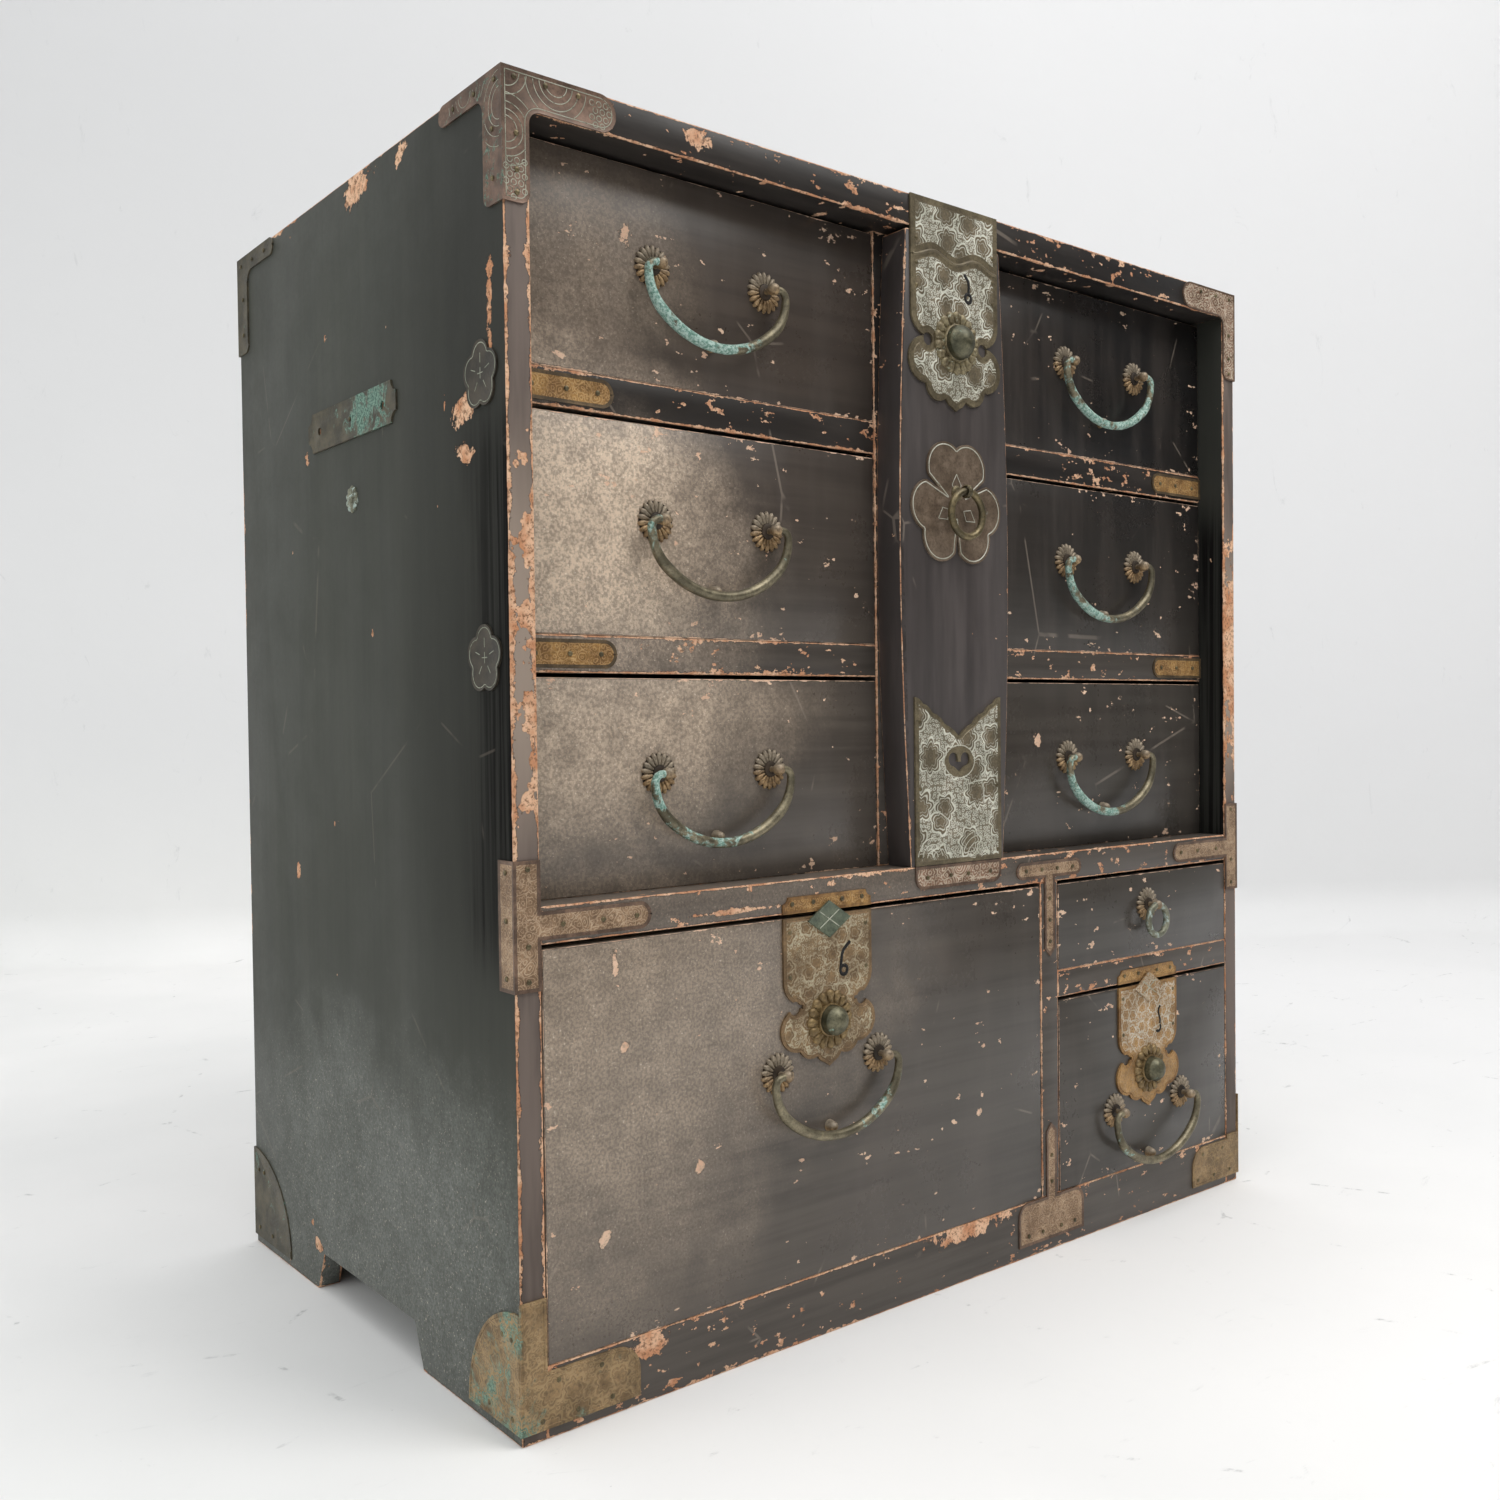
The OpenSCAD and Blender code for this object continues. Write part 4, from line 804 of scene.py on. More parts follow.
metalTones = {
    "gilt": alloy((128, 94, 58), (182, 142, 90), (74, 56, 40), (98, 128, 108), (140, 164, 138), 0.72,
          (0.38, 0.58), 0.55),
    "giltField": alloy((130, 96, 56), (184, 142, 84), (76, 56, 38), (92, 118, 98), (132, 150, 124), 0.74,
          (0.45, 0.65), 0.45, lines=(((166, 130, 84), (196, 160, 108)), 7, 2.4, 0.28, 0.2)),
    "roseGold": alloy((126, 100, 76), (172, 142, 112), (78, 60, 46), (140, 140, 120), (176, 172, 152), 0.7,
          (0.4, 0.6), 0.4, lines=(((160, 134, 106), (190, 166, 138)), 8, 2.4, 0.26, 0.3)),
    "strapRim": alloy((80, 68, 52), (118, 98, 72), (56, 46, 34), (110, 116, 98), (150, 150, 130), 0.7,
          (0.42, 0.6), 0.4),
    "footGold": alloy((116, 94, 66), (164, 136, 98), (76, 64, 48), (84, 106, 90), (128, 156, 138), 0.66,
          (0.42, 0.62), 0.4, lines=(((138, 116, 82), (168, 142, 104)), 19, 0, 0, 0.0), patinaSoft=0.12,
          patchScale=26, zones=[((-0.3955, -0.19, 0.06), (0.0042, 0.2, 0.2), 0.17), ((-0.39, -0.2247, 0.004),
          (0.05, 0.01, 0.05), 0.2)]),
    "olive": alloy((98, 88, 68), (134, 122, 96), (66, 58, 46), (120, 150, 134), (160, 182, 164), 0.73,
          (0.36, 0.55), 0.45),
    "oliveField": alloy((96, 86, 66), (128, 114, 90), (70, 62, 48), (120, 150, 136), (158, 182, 168), 0.7,
          (0.45, 0.62), 0.3, lines=(((188, 188, 172), (222, 222, 208)), 27, 0, 0, 0.8)),
    "goldField": alloy((112, 90, 64), (152, 124, 88), (70, 58, 44), (104, 146, 128), (164, 194, 178), 0.66,
          (0.42, 0.6), 0.4, lines=(((150, 134, 106), (190, 182, 156)), 16, 0, 0, 0.16)),
    "goldRim": alloy((110, 88, 62), (150, 122, 88), (70, 56, 42), (92, 132, 114), (146, 176, 156), 0.74,
          (0.38, 0.55), 0.45),
    "whiteField": alloy((146, 112, 70), (188, 148, 94), (90, 68, 44), (96, 136, 120), (150, 180, 162), 0.72,
          (0.42, 0.6), 0.4, lines=(((178, 168, 148), (206, 200, 186)), 12, 0, 0, 0.35), linesFrom=0.158),
    "copper": alloy((92, 74, 62), (134, 108, 90), (64, 50, 42), (132, 140, 124), (170, 172, 154), 0.72,
          (0.36, 0.55), 0.45),
    "cornerCopper": alloy((92, 74, 62), (132, 106, 90), (62, 50, 42), (64, 72, 60), (108, 132, 116), 0.72,
          (0.36, 0.55), 0.4, zones=[((-0.3955, -0.2, 0.8), (0.0042, 0.2, 0.2), 0.16)]),
    "keeper": alloy((122, 92, 72), (166, 130, 106), (74, 56, 44), (150, 152, 134), (186, 184, 166), 0.7,
          (0.38, 0.56), 0.4, lines=(((176, 160, 138), (204, 190, 170)), 13, 3.0, 0.34, 0.45)),
    "leaf": alloy((104, 88, 72), (140, 122, 104), (72, 60, 48), (128, 138, 122), (172, 174, 158), 0.7,
          (0.36, 0.55), 0.4),
    "bronze": alloy((84, 76, 56), (134, 120, 88), (52, 46, 34), (98, 140, 124), (160, 190, 174), 0.66,
          (0.34, 0.52), 0.6, patchScale=75),
    "bail": alloy((98, 92, 74), (156, 146, 120), (62, 56, 46), (94, 134, 120), (180, 204, 194), 0.66,
          (0.36, 0.55), 0.6, patchScale=110, patinaSoft=0.1, zones=onFront(-0.21, 0.1,
          (-0.245, 0.72, 0.066, 0.075, 0.34), (-0.27, 0.59, 0.022, 0.03, 0.22), (-0.235, 0.366, 0.062, 0.03,
          0.2), (-0.268, 0.41, 0.022, 0.03, 0.3), (0.2215, 0.73, 0.085, 0.075, 0.3), (0.185, 0.56, 0.055,
          0.06, 0.26), (0.195, 0.39, 0.06, 0.06, 0.3)) + onFront(-0.24, 0.1, (-0.095, 0.16, 0.03, 0.04, 0.14),
          (0.215, 0.08, 0.03, 0.04, 0.14))),
    "greenRing": alloy((104, 104, 88), (152, 152, 132), (66, 66, 54), (130, 146, 138), (184, 196, 188), 0.52,
          (0.4, 0.6), 0.5, patchScale=160),
    "petal": alloy((130, 104, 72), (182, 152, 112), (76, 62, 46), (122, 146, 130), (176, 190, 174), 0.68,
          (0.4, 0.6), 0.4, toneScale=130, patchScale=180, above=(152, 142, 126)),
    "petalGrey": alloy((112, 100, 74), (158, 146, 114), (70, 62, 46), (150, 154, 132), (190, 190, 170), 0.6,
          (0.4, 0.6), 0.35, toneScale=130, patchScale=180),
    "cover": alloy((54, 50, 42), (82, 74, 62), (38, 34, 28), (62, 84, 72), (110, 130, 116), 0.72,
          (0.36, 0.55), 0.35),
    "sidePlate": alloy((70, 66, 54), (102, 94, 76), (48, 46, 38), (58, 88, 76), (124, 154, 138), 0.64,
          (0.42, 0.62), 0.35, patchScale=70, patinaSoft=0.1, zones=[((-0.3955, -0.02, 0.676),
          (0.02, 0.058, 0.03), 0.24), ((-0.3955, 0.19, 0.06), (0.02, 0.07, 0.06), 0.06)]),
    "dome": alloy((70, 70, 54), (124, 120, 96), (44, 44, 34), (92, 128, 112), (150, 178, 162), 0.63,
          (0.34, 0.5), 0.55, patchScale=90),
    "valley": alloy((44, 36, 28), (72, 58, 44), (32, 26, 20), (84, 96, 82), (110, 122, 104), 0.74, (0.5, 0.7),
          0.3),
    "lockPetal": alloy((112, 92, 60), (158, 134, 92), (66, 54, 38), (104, 132, 114), (156, 172, 150), 0.68,
          (0.38, 0.56), 0.45, toneScale=110, patchScale=150),
    "darkGreen": alloy((80, 90, 76), (112, 120, 100), (52, 56, 46), (96, 124, 108), (136, 160, 144), 0.66,
          (0.36, 0.5), 0.3),
    "iron": alloy((48, 46, 46), (84, 80, 78), (36, 30, 28), (104, 66, 44), (140, 92, 60), 0.66, (0.45, 0.65),
          0.8),
}


def keyholeShadeInlay():
    # near-black paint for the keyhole strokes: painted shade standing in for the hole
    paint, shader, point = newPaint("keyholePaintedShade")
    shadeMottle = noise(point, 400, 3.0)
    wire(shader, colour=mix(shadeMottle, (8, 8, 8), (26, 23, 20)), gloss=ramp(shadeMottle, 0.3, 0.7, 0.7, 0.95))
    return paint


metals = {key: metal("metal" + key[0].upper() + key[1:], look) for key, look in metalTones.items()}
metals["white"] = paste("whitePaste", (172, 170, 152), (206, 204, 190), (112, 104, 82), 0.66)
metals["green"] = paste("greenLines", (146, 150, 132), (182, 184, 166), (92, 96, 80), 0.60)
metals["hole"] = keyholeShadeInlay()

# The way a face looks: its own sideways, up and out
toFront = Matrix(((1, 0, 0), (0, 0, -1), (0, 1, 0)))
toLeft = Matrix(((0, 0, -1), (-1, 0, 0), (0, 1, 0)))
toRight = Matrix(((0, 0, 1), (1, 0, 0), (0, 1, 0)))
plates = {"rim": 2.4 * mm, "sink": 0.35 * mm}


def outward(way):
    return way @ Vector((0, 0, 1))


def setIndex(piece, index, picked):
    bm = bmesh.from_edit_mesh(piece.data)
    for f in bm.faces:
        if f.select or not picked:
            f.material_index = index
    bmesh.update_edit_mesh(piece.data)


def makePlate(node, name, ways, tones, keep=None, rim=plates["rim"]):
    # a fitting with a raised rim; its sunk field takes the second tone
    plate = cadCopy(node, name, keep)
    paintWith(plate, *(metals[t] for t in tones.split()))
    openMesh(plate)
    setIndex(plate, 0, False)
    for way in ways:
        out = outward(way)
        pick(plate, "faces", lambda f: f.normal.dot(out) > 0.99
             and (way is toFront or f.calc_center_median().dot(out) > -sideFace))
        bpy.ops.mesh.inset(thickness=rim, depth=-plates["sink"])
        setIndex(plate, 1, True)
    closeMesh()
    smoothShade(plate)
    return plate


def outlineOf(piece, way):
    # the border loops of the piece's main outer face, the longest first, as points sideways and up
    bm = bmesh.new()
    bm.from_mesh(piece.data)
    out, back = outward(way), way.transposed()
    levels = {}
    for f in bm.faces:
        if f.normal.dot(out) > 0.99:
            levels.setdefault(round(f.calc_center_median().dot(out), 5), []).append(f)
    level = max(levels, key=lambda at: sum(f.calc_area() for f in levels[at]))
    ahead = {f for at, faces in levels.items() if abs(at - level) < 0.00003 for f in faces}
    beside = {}
    for e in bm.edges:
        if sum(f in ahead for f in e.link_faces) == 1:
            for v in e.verts:
                beside.setdefault(v, []).append(e.other_vert(v))
    loops = []
    while beside:
        start = next(iter(beside))
        loop, came, here = [start], None, start
        while True:
            came, here = here, next(w for w in beside[here] if w is not came)
            if here is start:
                break
            loop.append(here)
        for v in loop:
            beside.pop(v)
        loops.append([(back @ v.co).xy for v in loop])
    bm.free()
    return sorted(loops, key=lambda loop: -sum((a - b).length for a, b in zip(loop, loop[1:]))), level


def shrink(loop, gap):
    # the loop moved inward; places that the gap closes up are left out
    pairs = list(zip(loop, loop[1:] + loop[:1]))
    side = 1 if sum(a.x * b.y - b.x * a.y for a, b in pairs) > 0 else -1
    dense = []
    for a, b in pairs:
        steps = max(1, int((b - a).length / mm))
        dense += [(a.lerp(b, (k + 0.5) / steps), (b - a).normalized()) for k in range(steps)]
    moved = [p + Vector((-d.y, d.x)) * gap * side for p, d in dense]
    return [q for q in moved if all((q - p).length > gap * 0.96 for p, _d in dense)]


def closed(loop):
    return loop + loop[:1]


def drawn(lines, isLoop, **settings):
    # a mesh piece from the lines of a curve
    curve = bpy.data.curves.new("lines", "CURVE")
    for key, value in settings.items():
        setattr(curve, key, value)
    for line in lines:
        spline = curve.splines.new("POLY")
        spline.points.add(len(line) - 1)
        spline.use_cyclic_u = isLoop
        for point, place in zip(spline.points, line):
            point.co = (*place, 0, 1)
    activate(addPiece("lines", curve))
    bpy.ops.object.convert(target="MESH")
    return bpy.context.object


def laySheet(plate, way, loops, level, thick, tone):
    # a thin sheet with holes, filled between the loops and joined to the plate
    sheet = drawn(loops, True, dimensions="2D", fill_mode="BOTH", extrude=thick)
    for v in sheet.data.vertices:
        v.co = way @ Vector((v.co.x, v.co.y, v.co.z + level))
    openMesh(sheet, action="SELECT")
    bpy.ops.mesh.remove_doubles(threshold=weld)
    closeOutward()
    sheet.data.materials.append(metals[tone])
    return joinPieces([plate, sheet], plate.name)


def drawOn(plate, way, strokes, width, level, paintIndex, flat=0.8):
    # strokes with a round nib, of this half width, joined to a plate in the face's own sideways and up
    pen = drawn(strokes, False, dimensions="3D", bevel_depth=width, bevel_resolution=0)
    made = bmesh.new()
    made.from_mesh(pen.data)
    for v in made.verts:
        v.co = way @ Vector((v.co.x, v.co.y, v.co.z * flat + level))
    for f in made.faces:
        f.material_index = paintIndex
        f.smooth = True
    made.to_mesh(pen.data)
    made.free()
    whole = bmesh.new()
    whole.from_mesh(plate.data)
    whole.from_mesh(pen.data)
    whole.to_mesh(plate.data)
    whole.free()
    toss(pen)


def arc(cx, cy, r, start, end, steps=8):
    turns = (radians(start + (end - start) * i / steps) for i in range(steps + 1))
    return [(cx + r * cos(t), cy + r * sin(t)) for t in turns]


def circle(x, z, r, wide=1.0):
    return [(x + (u - x) * wide, v) for u, v in arc(x, z, r, 0, 350, 35)]


def ray(x, z, turn, near, far):
    return [(x + r * cos(radians(turn)), z + r * sin(radians(turn))) for r in (near, far)]


def markHeight(piece, reach):
    # keeps how high on the piece each place lies, for paints that change with it: the petal paint lightens the
    # upper parts as a painted highlight
    layer = piece.data.attributes.new("height", "FLOAT", "POINT")
    for v, keeper in zip(piece.data.vertices, layer.data):
        keeper.value = v.co.z / reach


# Rosettes, petals, knobs and nails, each modelled once

def disc(sides, radius, place, turn):
    bpy.ops.mesh.primitive_circle_add(vertices=sides, radius=radius, fill_type="NGON", location=place,
                                      rotation=turn)
    return settle(bpy.context.object)


def makePetals(count, inner, reach, width, high):
    # a ring of domed petals on the face y = 0: one that points up is modelled, then copied round
    middle, half = (inner + reach) / 2, (reach - inner) / 2
    petal = disc(10, 1, (0, 0, middle), (radians(90), 0, 0))
    openMesh(petal, "VERT", "SELECT")
    resize(width, 1, half, (0, 0, middle))
    pick(petal, "verts", lambda v: v.co.z < middle)
    resize(0.55, 1, 1, (0, 0, middle))
    bpy.ops.mesh.select_mode(type="FACE")
    bpy.ops.mesh.select_all(action="SELECT")
    for up, grow in ((0.5, 0.97), (0.35, 0.72), (0.15, 0.5)):
        extrude(0, -high * up, 0)
        resize(grow, 1, grow, (0, 0, middle + half * 0.25))
    closeOutward()
    twins = [copyOf(petal, "petal", Matrix.Rotation(2 * pi * k / count, 4, "Y")) for k in range(count)]
    toss(petal)
    return joinPieces(twins, "petals")


def makeTurned(sides, *profile):
    # a turned shape on the y axis: the profile is radius and y in millimetres, from the back to the front
    (r, y), *further = profile
    turned = disc(sides, r * mm, (0, y * mm, 0), (radians(90), 0, 0))
    openMesh(turned, action="SELECT")
    for nextR, nextY in further:
        extrude(0, (nextY - y) * mm, 0)
        resize(nextR / r, 1, nextR / r, (0, nextY * mm, 0))
        r, y = nextR, nextY
    closeOutward()
    return turned


rosette = {"petals": 18, "reach": 15.0 * mm, "inner": 3.8 * mm, "width": 2.28 * mm, "high": 2.7 * mm}


def makeRosette():
    flower = makePetals(*(rosette[k] for k in ("petals", "inner", "reach", "width", "high")))
    hub = makeTurned(32, (13.8, 0), (13.8, -0.7), (6.2, -1.2), (5.6, -2.9), (4.4, -3.4), (2.6, -3.6))
    post = makeTurned(20, (2.2, -0.5), (2.2, -7.0), (3.0, -8.0), (3.9, -9.4), (4.3, -11.6), (4.1, -13.4),
                      (3.2, -14.9), (1.7, -15.8), (0.5, -16.0))
    for part, tone in ((flower, "petal"), (hub, "valley"), (post, "petal")):
        paintWith(part, metals[tone])
    whole = joinPieces([flower, hub, post], "rosette")
    markHeight(whole, rosette["reach"])
    return whole


def makeStud():
    stud = makeTurned(18, (4.5, 0), (4.5, -1.2), (3.9, -2.6), (3.9, -4.4), (3.2, -6.4), (2.0, -7.7),
                      (0.6, -8.2))
    markHeight(stud, 5 * mm)
    paintWith(stud, metals["petal"])
    return stud


bail = {"half": 49 * mm, "pinAt": 46.5 * mm, "pin": 2.6 * mm, "elbow": 6 * mm, "elbowAt": 54 * mm,
        "side": 34 * mm, "sideAt": 26 * mm, "low": 72.8 * mm, "lowAt": 22.8 * mm, "turn": 47.9,
        "thick": 3.9 * mm, "out": 12 * mm, "sides": 12}


def makeBail():
    # half of the handle is spun from a round end, growing thicker to the middle, and mirrored
    look = bail
    y = -look["out"]
    half = disc(look["sides"], look["pin"], (look["pinAt"], y, 0), (0, radians(90), 0))
    openMesh(half, action="SELECT")
    extrude(look["elbowAt"] - look["pinAt"], 0, 0)
    thick = look["pin"]
    for cx, cz, radius, start, turn, steps, goal in (
            (look["elbowAt"], -look["elbow"], look["elbow"], 90, 90, 6, look["pin"] * 1.12),
            (look["sideAt"], -look["elbow"], look["side"], 0, look["turn"], 9, look["thick"]),
            (0, look["lowAt"], look["low"], -look["turn"], 90 - look["turn"], 10, look["thick"] * 0.9)):
        grow = (goal / thick) ** (1 / steps)
        for k in range(1, steps + 1):
            bpy.ops.mesh.spin(steps=1, angle=-radians(turn / steps), center=(cx, y, cz), axis=(0, 1, 0))
            at = radians(start - turn / steps * k)
            resize(grow, grow, grow, (cx + radius * cos(at), y, cz + radius * sin(at)))
        thick = goal
    bpy.ops.mesh.delete(type="FACE")
    closeOutward()
    mirror = half.modifiers.new("mirror", "MIRROR")
    mirror.merge_threshold = 0.0002
    activate(half)
    bpy.ops.object.modifier_apply(modifier="mirror")
    paintWith(half, metals["bail"])
    return half


def makeNail():
    nail = makeTurned(10, (1.75, 0.2), (1.75, -0.25), (1.2, -0.7), (0.4, -0.9))
    paintWith(nail, metals["bronze"])
    return nail


rosetteOne, studOne, bailOne, nailOne = makeRosette(), makeStud(), makeBail(), makeNail()
print("small metal modelled")

# Each handle: the drawer's key, middle of the pin line, face, and the slot of its bail
handles = {
    "left_top": ((-0.2165, 0.758), recessFace, "verdigris"),
    "left_middle": ((-0.2165, 0.586), recessFace, "bronze"),
    "left_bottom": ((-0.2165, 0.414), recessFace, "bronze"),
    "right_top": ((0.2215, 0.758), recessFace, "bronze"),
    "right_middle": ((0.2215, 0.586), recessFace, "bronze"),
    "right_bottom": ((0.2215, 0.414), recessFace, "bronze"),
    "big": ((-0.1355, 0.199), frontFace, "bronze"),
    "small": ((0.2505, 0.102), frontFace, "bronze"),
}
ringAt = (0.2505, frontFace, 0.28026)
studDrop = 46 * mm


def buildHandles():
    half = bail["half"]
    for key, ((x, z), face, slot) in handles.items():
        name = drawers[key]
        at = Matrix.Translation((x, face, z))
        parts = [copyOf(rosetteOne, "part", at @ Matrix.Translation((off, 0, 0))) for off in (-half, half)]
        parts.append(copyOf(studOne, "part", at @ Matrix.Translation((0, 0, -studDrop))))
        place(joinPieces(parts, "rosettes" + name), "drawer_" + key, "brass", "rosettes_" + key, 40)
        place(copyOf(bailOne, "bailHandle" + name, at), "bail_" + key, slot, "bail_" + key, 60)
    mount = copyOf(rosetteOne, "rosetteRing", Matrix.Translation(ringAt))
    place(mount, "drawer_ring", "verdigris", "ring_rosette", 40)
    print("handles built")


def nailsAt(node, highest=1.0):
    # a domed nail at each of the CAD nails of a node, which face forward, left or right
    bm = bmesh.new()
    bm.from_mesh(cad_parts[node].data)
    bmesh.ops.remove_doubles(bm, verts=bm.verts, dist=weld)
    boxes = [boxOf(group) for group in looseParts(bm)]
    bm.free()
    nails = []
    for low, high in boxes:
        middle, size = (low + high) / 2, high - low
        at, turn = Vector((middle.x, high.y, middle.z)), 0
        if size.x < 0.6 * size.z:
            turn = -1 if middle.x < 0 else 1
            at = Vector((low.x if turn > 0 else high.x, middle.y, middle.z))
        if size.z < highest:
            spin = Matrix.Rotation(radians(90) * turn, 4, "Z")
            nails.append(copyOf(nailOne, "nail", Matrix.Translation(at) @ spin))
    return nails


def buildNails():
    place(joinPieces(nailsAt("fitting_nails"), "fittingNails"), "case", "bronze", "fitting_nails", 35)
    print("nails built")


buildHandles()
buildNails()


# Plates of the case

def sizeOf(low, high):
    return high.x - low.x, high.z - low.z, abs(low.x + high.x)


def isStrap(low, high):
    wide, tall, off = sizeOf(low, high)
    return abs(high.x) > 0.16 and abs(low.x) > 0.16 and wide < 0.09 and tall < 0.025 and off > 0.55


def isWrap(low, high):
    _wide, tall, off = sizeOf(low, high)
    return tall > 0.075 and off > 0.6


def isKeeper(low, high, least=-1.0, most=0.03):
    wide, tall, off = sizeOf(low, high)
    return tall < 0.02 and 0.08 < wide < 0.1 and least < off < most


railPlates = {
    # name: tones of rim and field, and the test of its boxes
    "railStraps": ("strapRim giltField", isStrap),
    "stileWraps": ("copper roseGold", isWrap),
    "postPlates": ("copper roseGold", lambda low, high: low.x > 0.07 and high.x < 0.16),
    "keeperPlate": ("copper keeper", isKeeper),
    "strikePlates": ("gilt giltField", lambda low, high: isKeeper(low, high, 0.03, 0.52)),
}


def buildStraps():
    for name, (tones, keep) in railPlates.items():
        ways = [toFront, toLeft, toRight] if name == "stileWraps" else [toFront]
        place(makePlate("rail_fittings", name, ways, tones, keep), "case", "brass", "rail_fittings")
    print("straps built")


def clipped(stroke, keep):
    # the parts of a stroke that lie where keep() is true
    parts, part = [], []
    for p in stroke:
        if keep(*p):
            part.append(p)
        elif part:
            parts.append(part)
            part = []
    return [q for q in parts + [part] if len(q) > 1]


def insideOf(loop):
    # the test whether a point lies in the loop
    def test(u, v):
        odd = False
        for a, b in zip(loop, loop[1:] + loop[:1]):
            if (a.y > v) != (b.y > v) and u < a.x + (v - a.y) / (b.y - a.y) * (b.x - a.x):
                odd = not odd
        return odd
    return test


def cellRows(inside, low, high, pitch=5.2 * mm):
    # rows of six-sided cells, as strokes
    strokes, row = [], 0
    v = low[1]
    while v < high[1]:
        u = low[0] + (pitch / 2 if row % 2 else 0)
        while u < high[0]:
            if inside(u, v):
                strokes.append(arc(u, v, pitch * 0.36, 30, 390, 8))
            u += pitch
        v += pitch * 0.866
        row += 1
    return strokes


corners = {
    # corner: its box test, and the tones of rim, field and lines
    "TopLeft": (lambda low, high: low.x < 0 and low.y < 0 and low.z > 0.5, "cornerCopper cornerCopper green"),
    "TopRight": (lambda low, high: low.x > 0 and low.y < 0 and low.z > 0.5, "copper keeper green"),
    "FootLeft": (lambda low, high: low.x < 0 and low.y < 0 and low.z < 0.5, "footGold footGold green"),
    "FootRight": (lambda low, high: low.x > 0 and low.y < 0 and low.z < 0.5, "footGold footGold green"),
    "Back": (lambda low, high: low.y > 0, "sidePlate sidePlate green"),
}


def innerBox(plate, way):
    # the outline a little inside the border, the test for what lies in it, its level and its two corners
    loops, level = outlineOf(plate, way)
    inner = shrink(loops[0], 1.2 * mm)
    low, high = ([pickOne(p[i] for p in inner) for i in range(2)] for pickOne in (min, max))
    return inner, insideOf(inner), level, low, high


def drawTopLeft(plate):
    # nested arcs that hang from the top and the left edge, and rows of cells at the ends
    inner, inside, level, low, high = innerBox(plate, toFront)
    (left, foot), (right, top) = low, high
    lines = [closed(inner)]
    for reach in (0.008, 0.012, 0.0165, 0.022):
        lines += clipped(arc(left + 0.036, top, reach, 180, 360, 50), inside)
        lines += clipped(arc(left, top - 0.036, reach, -90, 90, 50), inside)
    for reach in (0.010, 0.015):
        lines += clipped(arc(left, top, reach, -90, 0, 30), inside)
    lines += cellRows(lambda u, v: inside(u, v) and u > right - 0.017, low, high)
    lines += cellRows(lambda u, v: inside(u, v) and v < foot + 0.026, low, high)
    drawOn(plate, toFront, lines, 0.30 * mm, level, 2, 0.6)
    _inner, inside, level, _low, (right, top) = innerBox(plate, toLeft)
    lines = []
    for reach in (0.010, 0.014, 0.020, 0.026):
        lines += clipped(arc(right, top - 0.020, reach, 90, 270, 50), inside)
        lines += clipped(arc(right - 0.045, top, reach * 0.8, 180, 360, 50), inside)
    drawOn(plate, toLeft, lines, 0.22 * mm, level, 2, 0.6)


def buildCorners():
    for name, (keep, tones) in corners.items():
        isFoot = name.startswith("Foot")
        ways = [] if isFoot else [toFront, toLeft, toRight]
        plate = makePlate("corner_fittings", "corner" + name, ways, tones, keep, 1.6 * mm)
        if isFoot:
            # a thin ridge along the outlines
            for way in (toFront, toLeft if name == "FootLeft" else toRight):
                loops, level = outlineOf(plate, way)
                drawOn(plate, way, [closed(shrink(loops[0], 2.0 * mm))], 0.5 * mm, level, 0, 0.6)
        if name == "TopLeft":
            drawTopLeft(plate)
        place(plate, "case", "brass", "corner_fittings")
    print("corners built")


def blossomStrokes(u, z, reach=0.0035):
    # a small cross in the middle, and faint veins
    cross = [[(u - reach, z), (u + reach, z)], [(u, z - reach), (u, z + reach)]]
    return cross + [ray(u, z, 90 + 72 * k, 0.0065, 0.0125) for k in range(5)]


def buildSideFittings():
    # backing plates of the carrying handles, their rosettes, and the blossom covers
    for side, way, name in ((-1, toLeft, "Left"), (1, toRight, "Right")):
        backing = makePlate("side_fittings", "backingPlate" + name, [way], "sidePlate sidePlate",
                            lambda low, high: low.x * side > 0 and high.y - low.y > 0.1, 1.6 * mm)
        covers = makePlate("side_fittings", "blossomCovers" + name, [way], "cover cover green",
                           lambda low, high: low.x * side > 0 and 0.03 < high.y - low.y < 0.1, 1.4 * mm)
        strokes = blossomStrokes(-side * 0.1925, 0.491) + blossomStrokes(-side * 0.1925, 0.669)
        loops, level = outlineOf(covers, way)
        strokes += [closed(shrink(loop, 0.6 * mm)) for loop in loops]
        drawOn(covers, way, strokes, 0.26 * mm, level, 2)
        flower = makePetals(10, 1.6 * mm, 10.2 * mm, 3.0 * mm, 1.7 * mm)
        hub = makeTurned(20, (9.0, 0), (9.0, -0.6), (3.2, -1.2), (2.8, -2.2), (1.2, -2.9))
        small = joinPieces([flower, hub], "sideRosette" + name)
        turn = Matrix.Rotation(radians(90) * side, 4, "Z")
        small.data.transform(Matrix.Translation((-side * sideFace, 0.0079, 0.616)) @ turn)
        paintWith(small, metals["greenRing"])
        smoothShade(small, 40)
        for piece in (backing, covers, small):
            place(piece, "case", "verdigris", "side_fittings")
    print("side fittings built")


# Plates of the bar and the locks

fieldThick = 0.15 * mm


def layField(plate, rim, holes, tone):
    # the engraved field inside a smooth rim, with a ridge where they meet
    loops, level = outlineOf(plate, toFront)
    inner = shrink(loops[0], rim)
    whole = laySheet(plate, toFront, [inner] + holes, level, fieldThick, tone)
    drawOn(whole, toFront, [closed(inner)], 0.5 * mm, level, 0)
    return whole, level + fieldThick


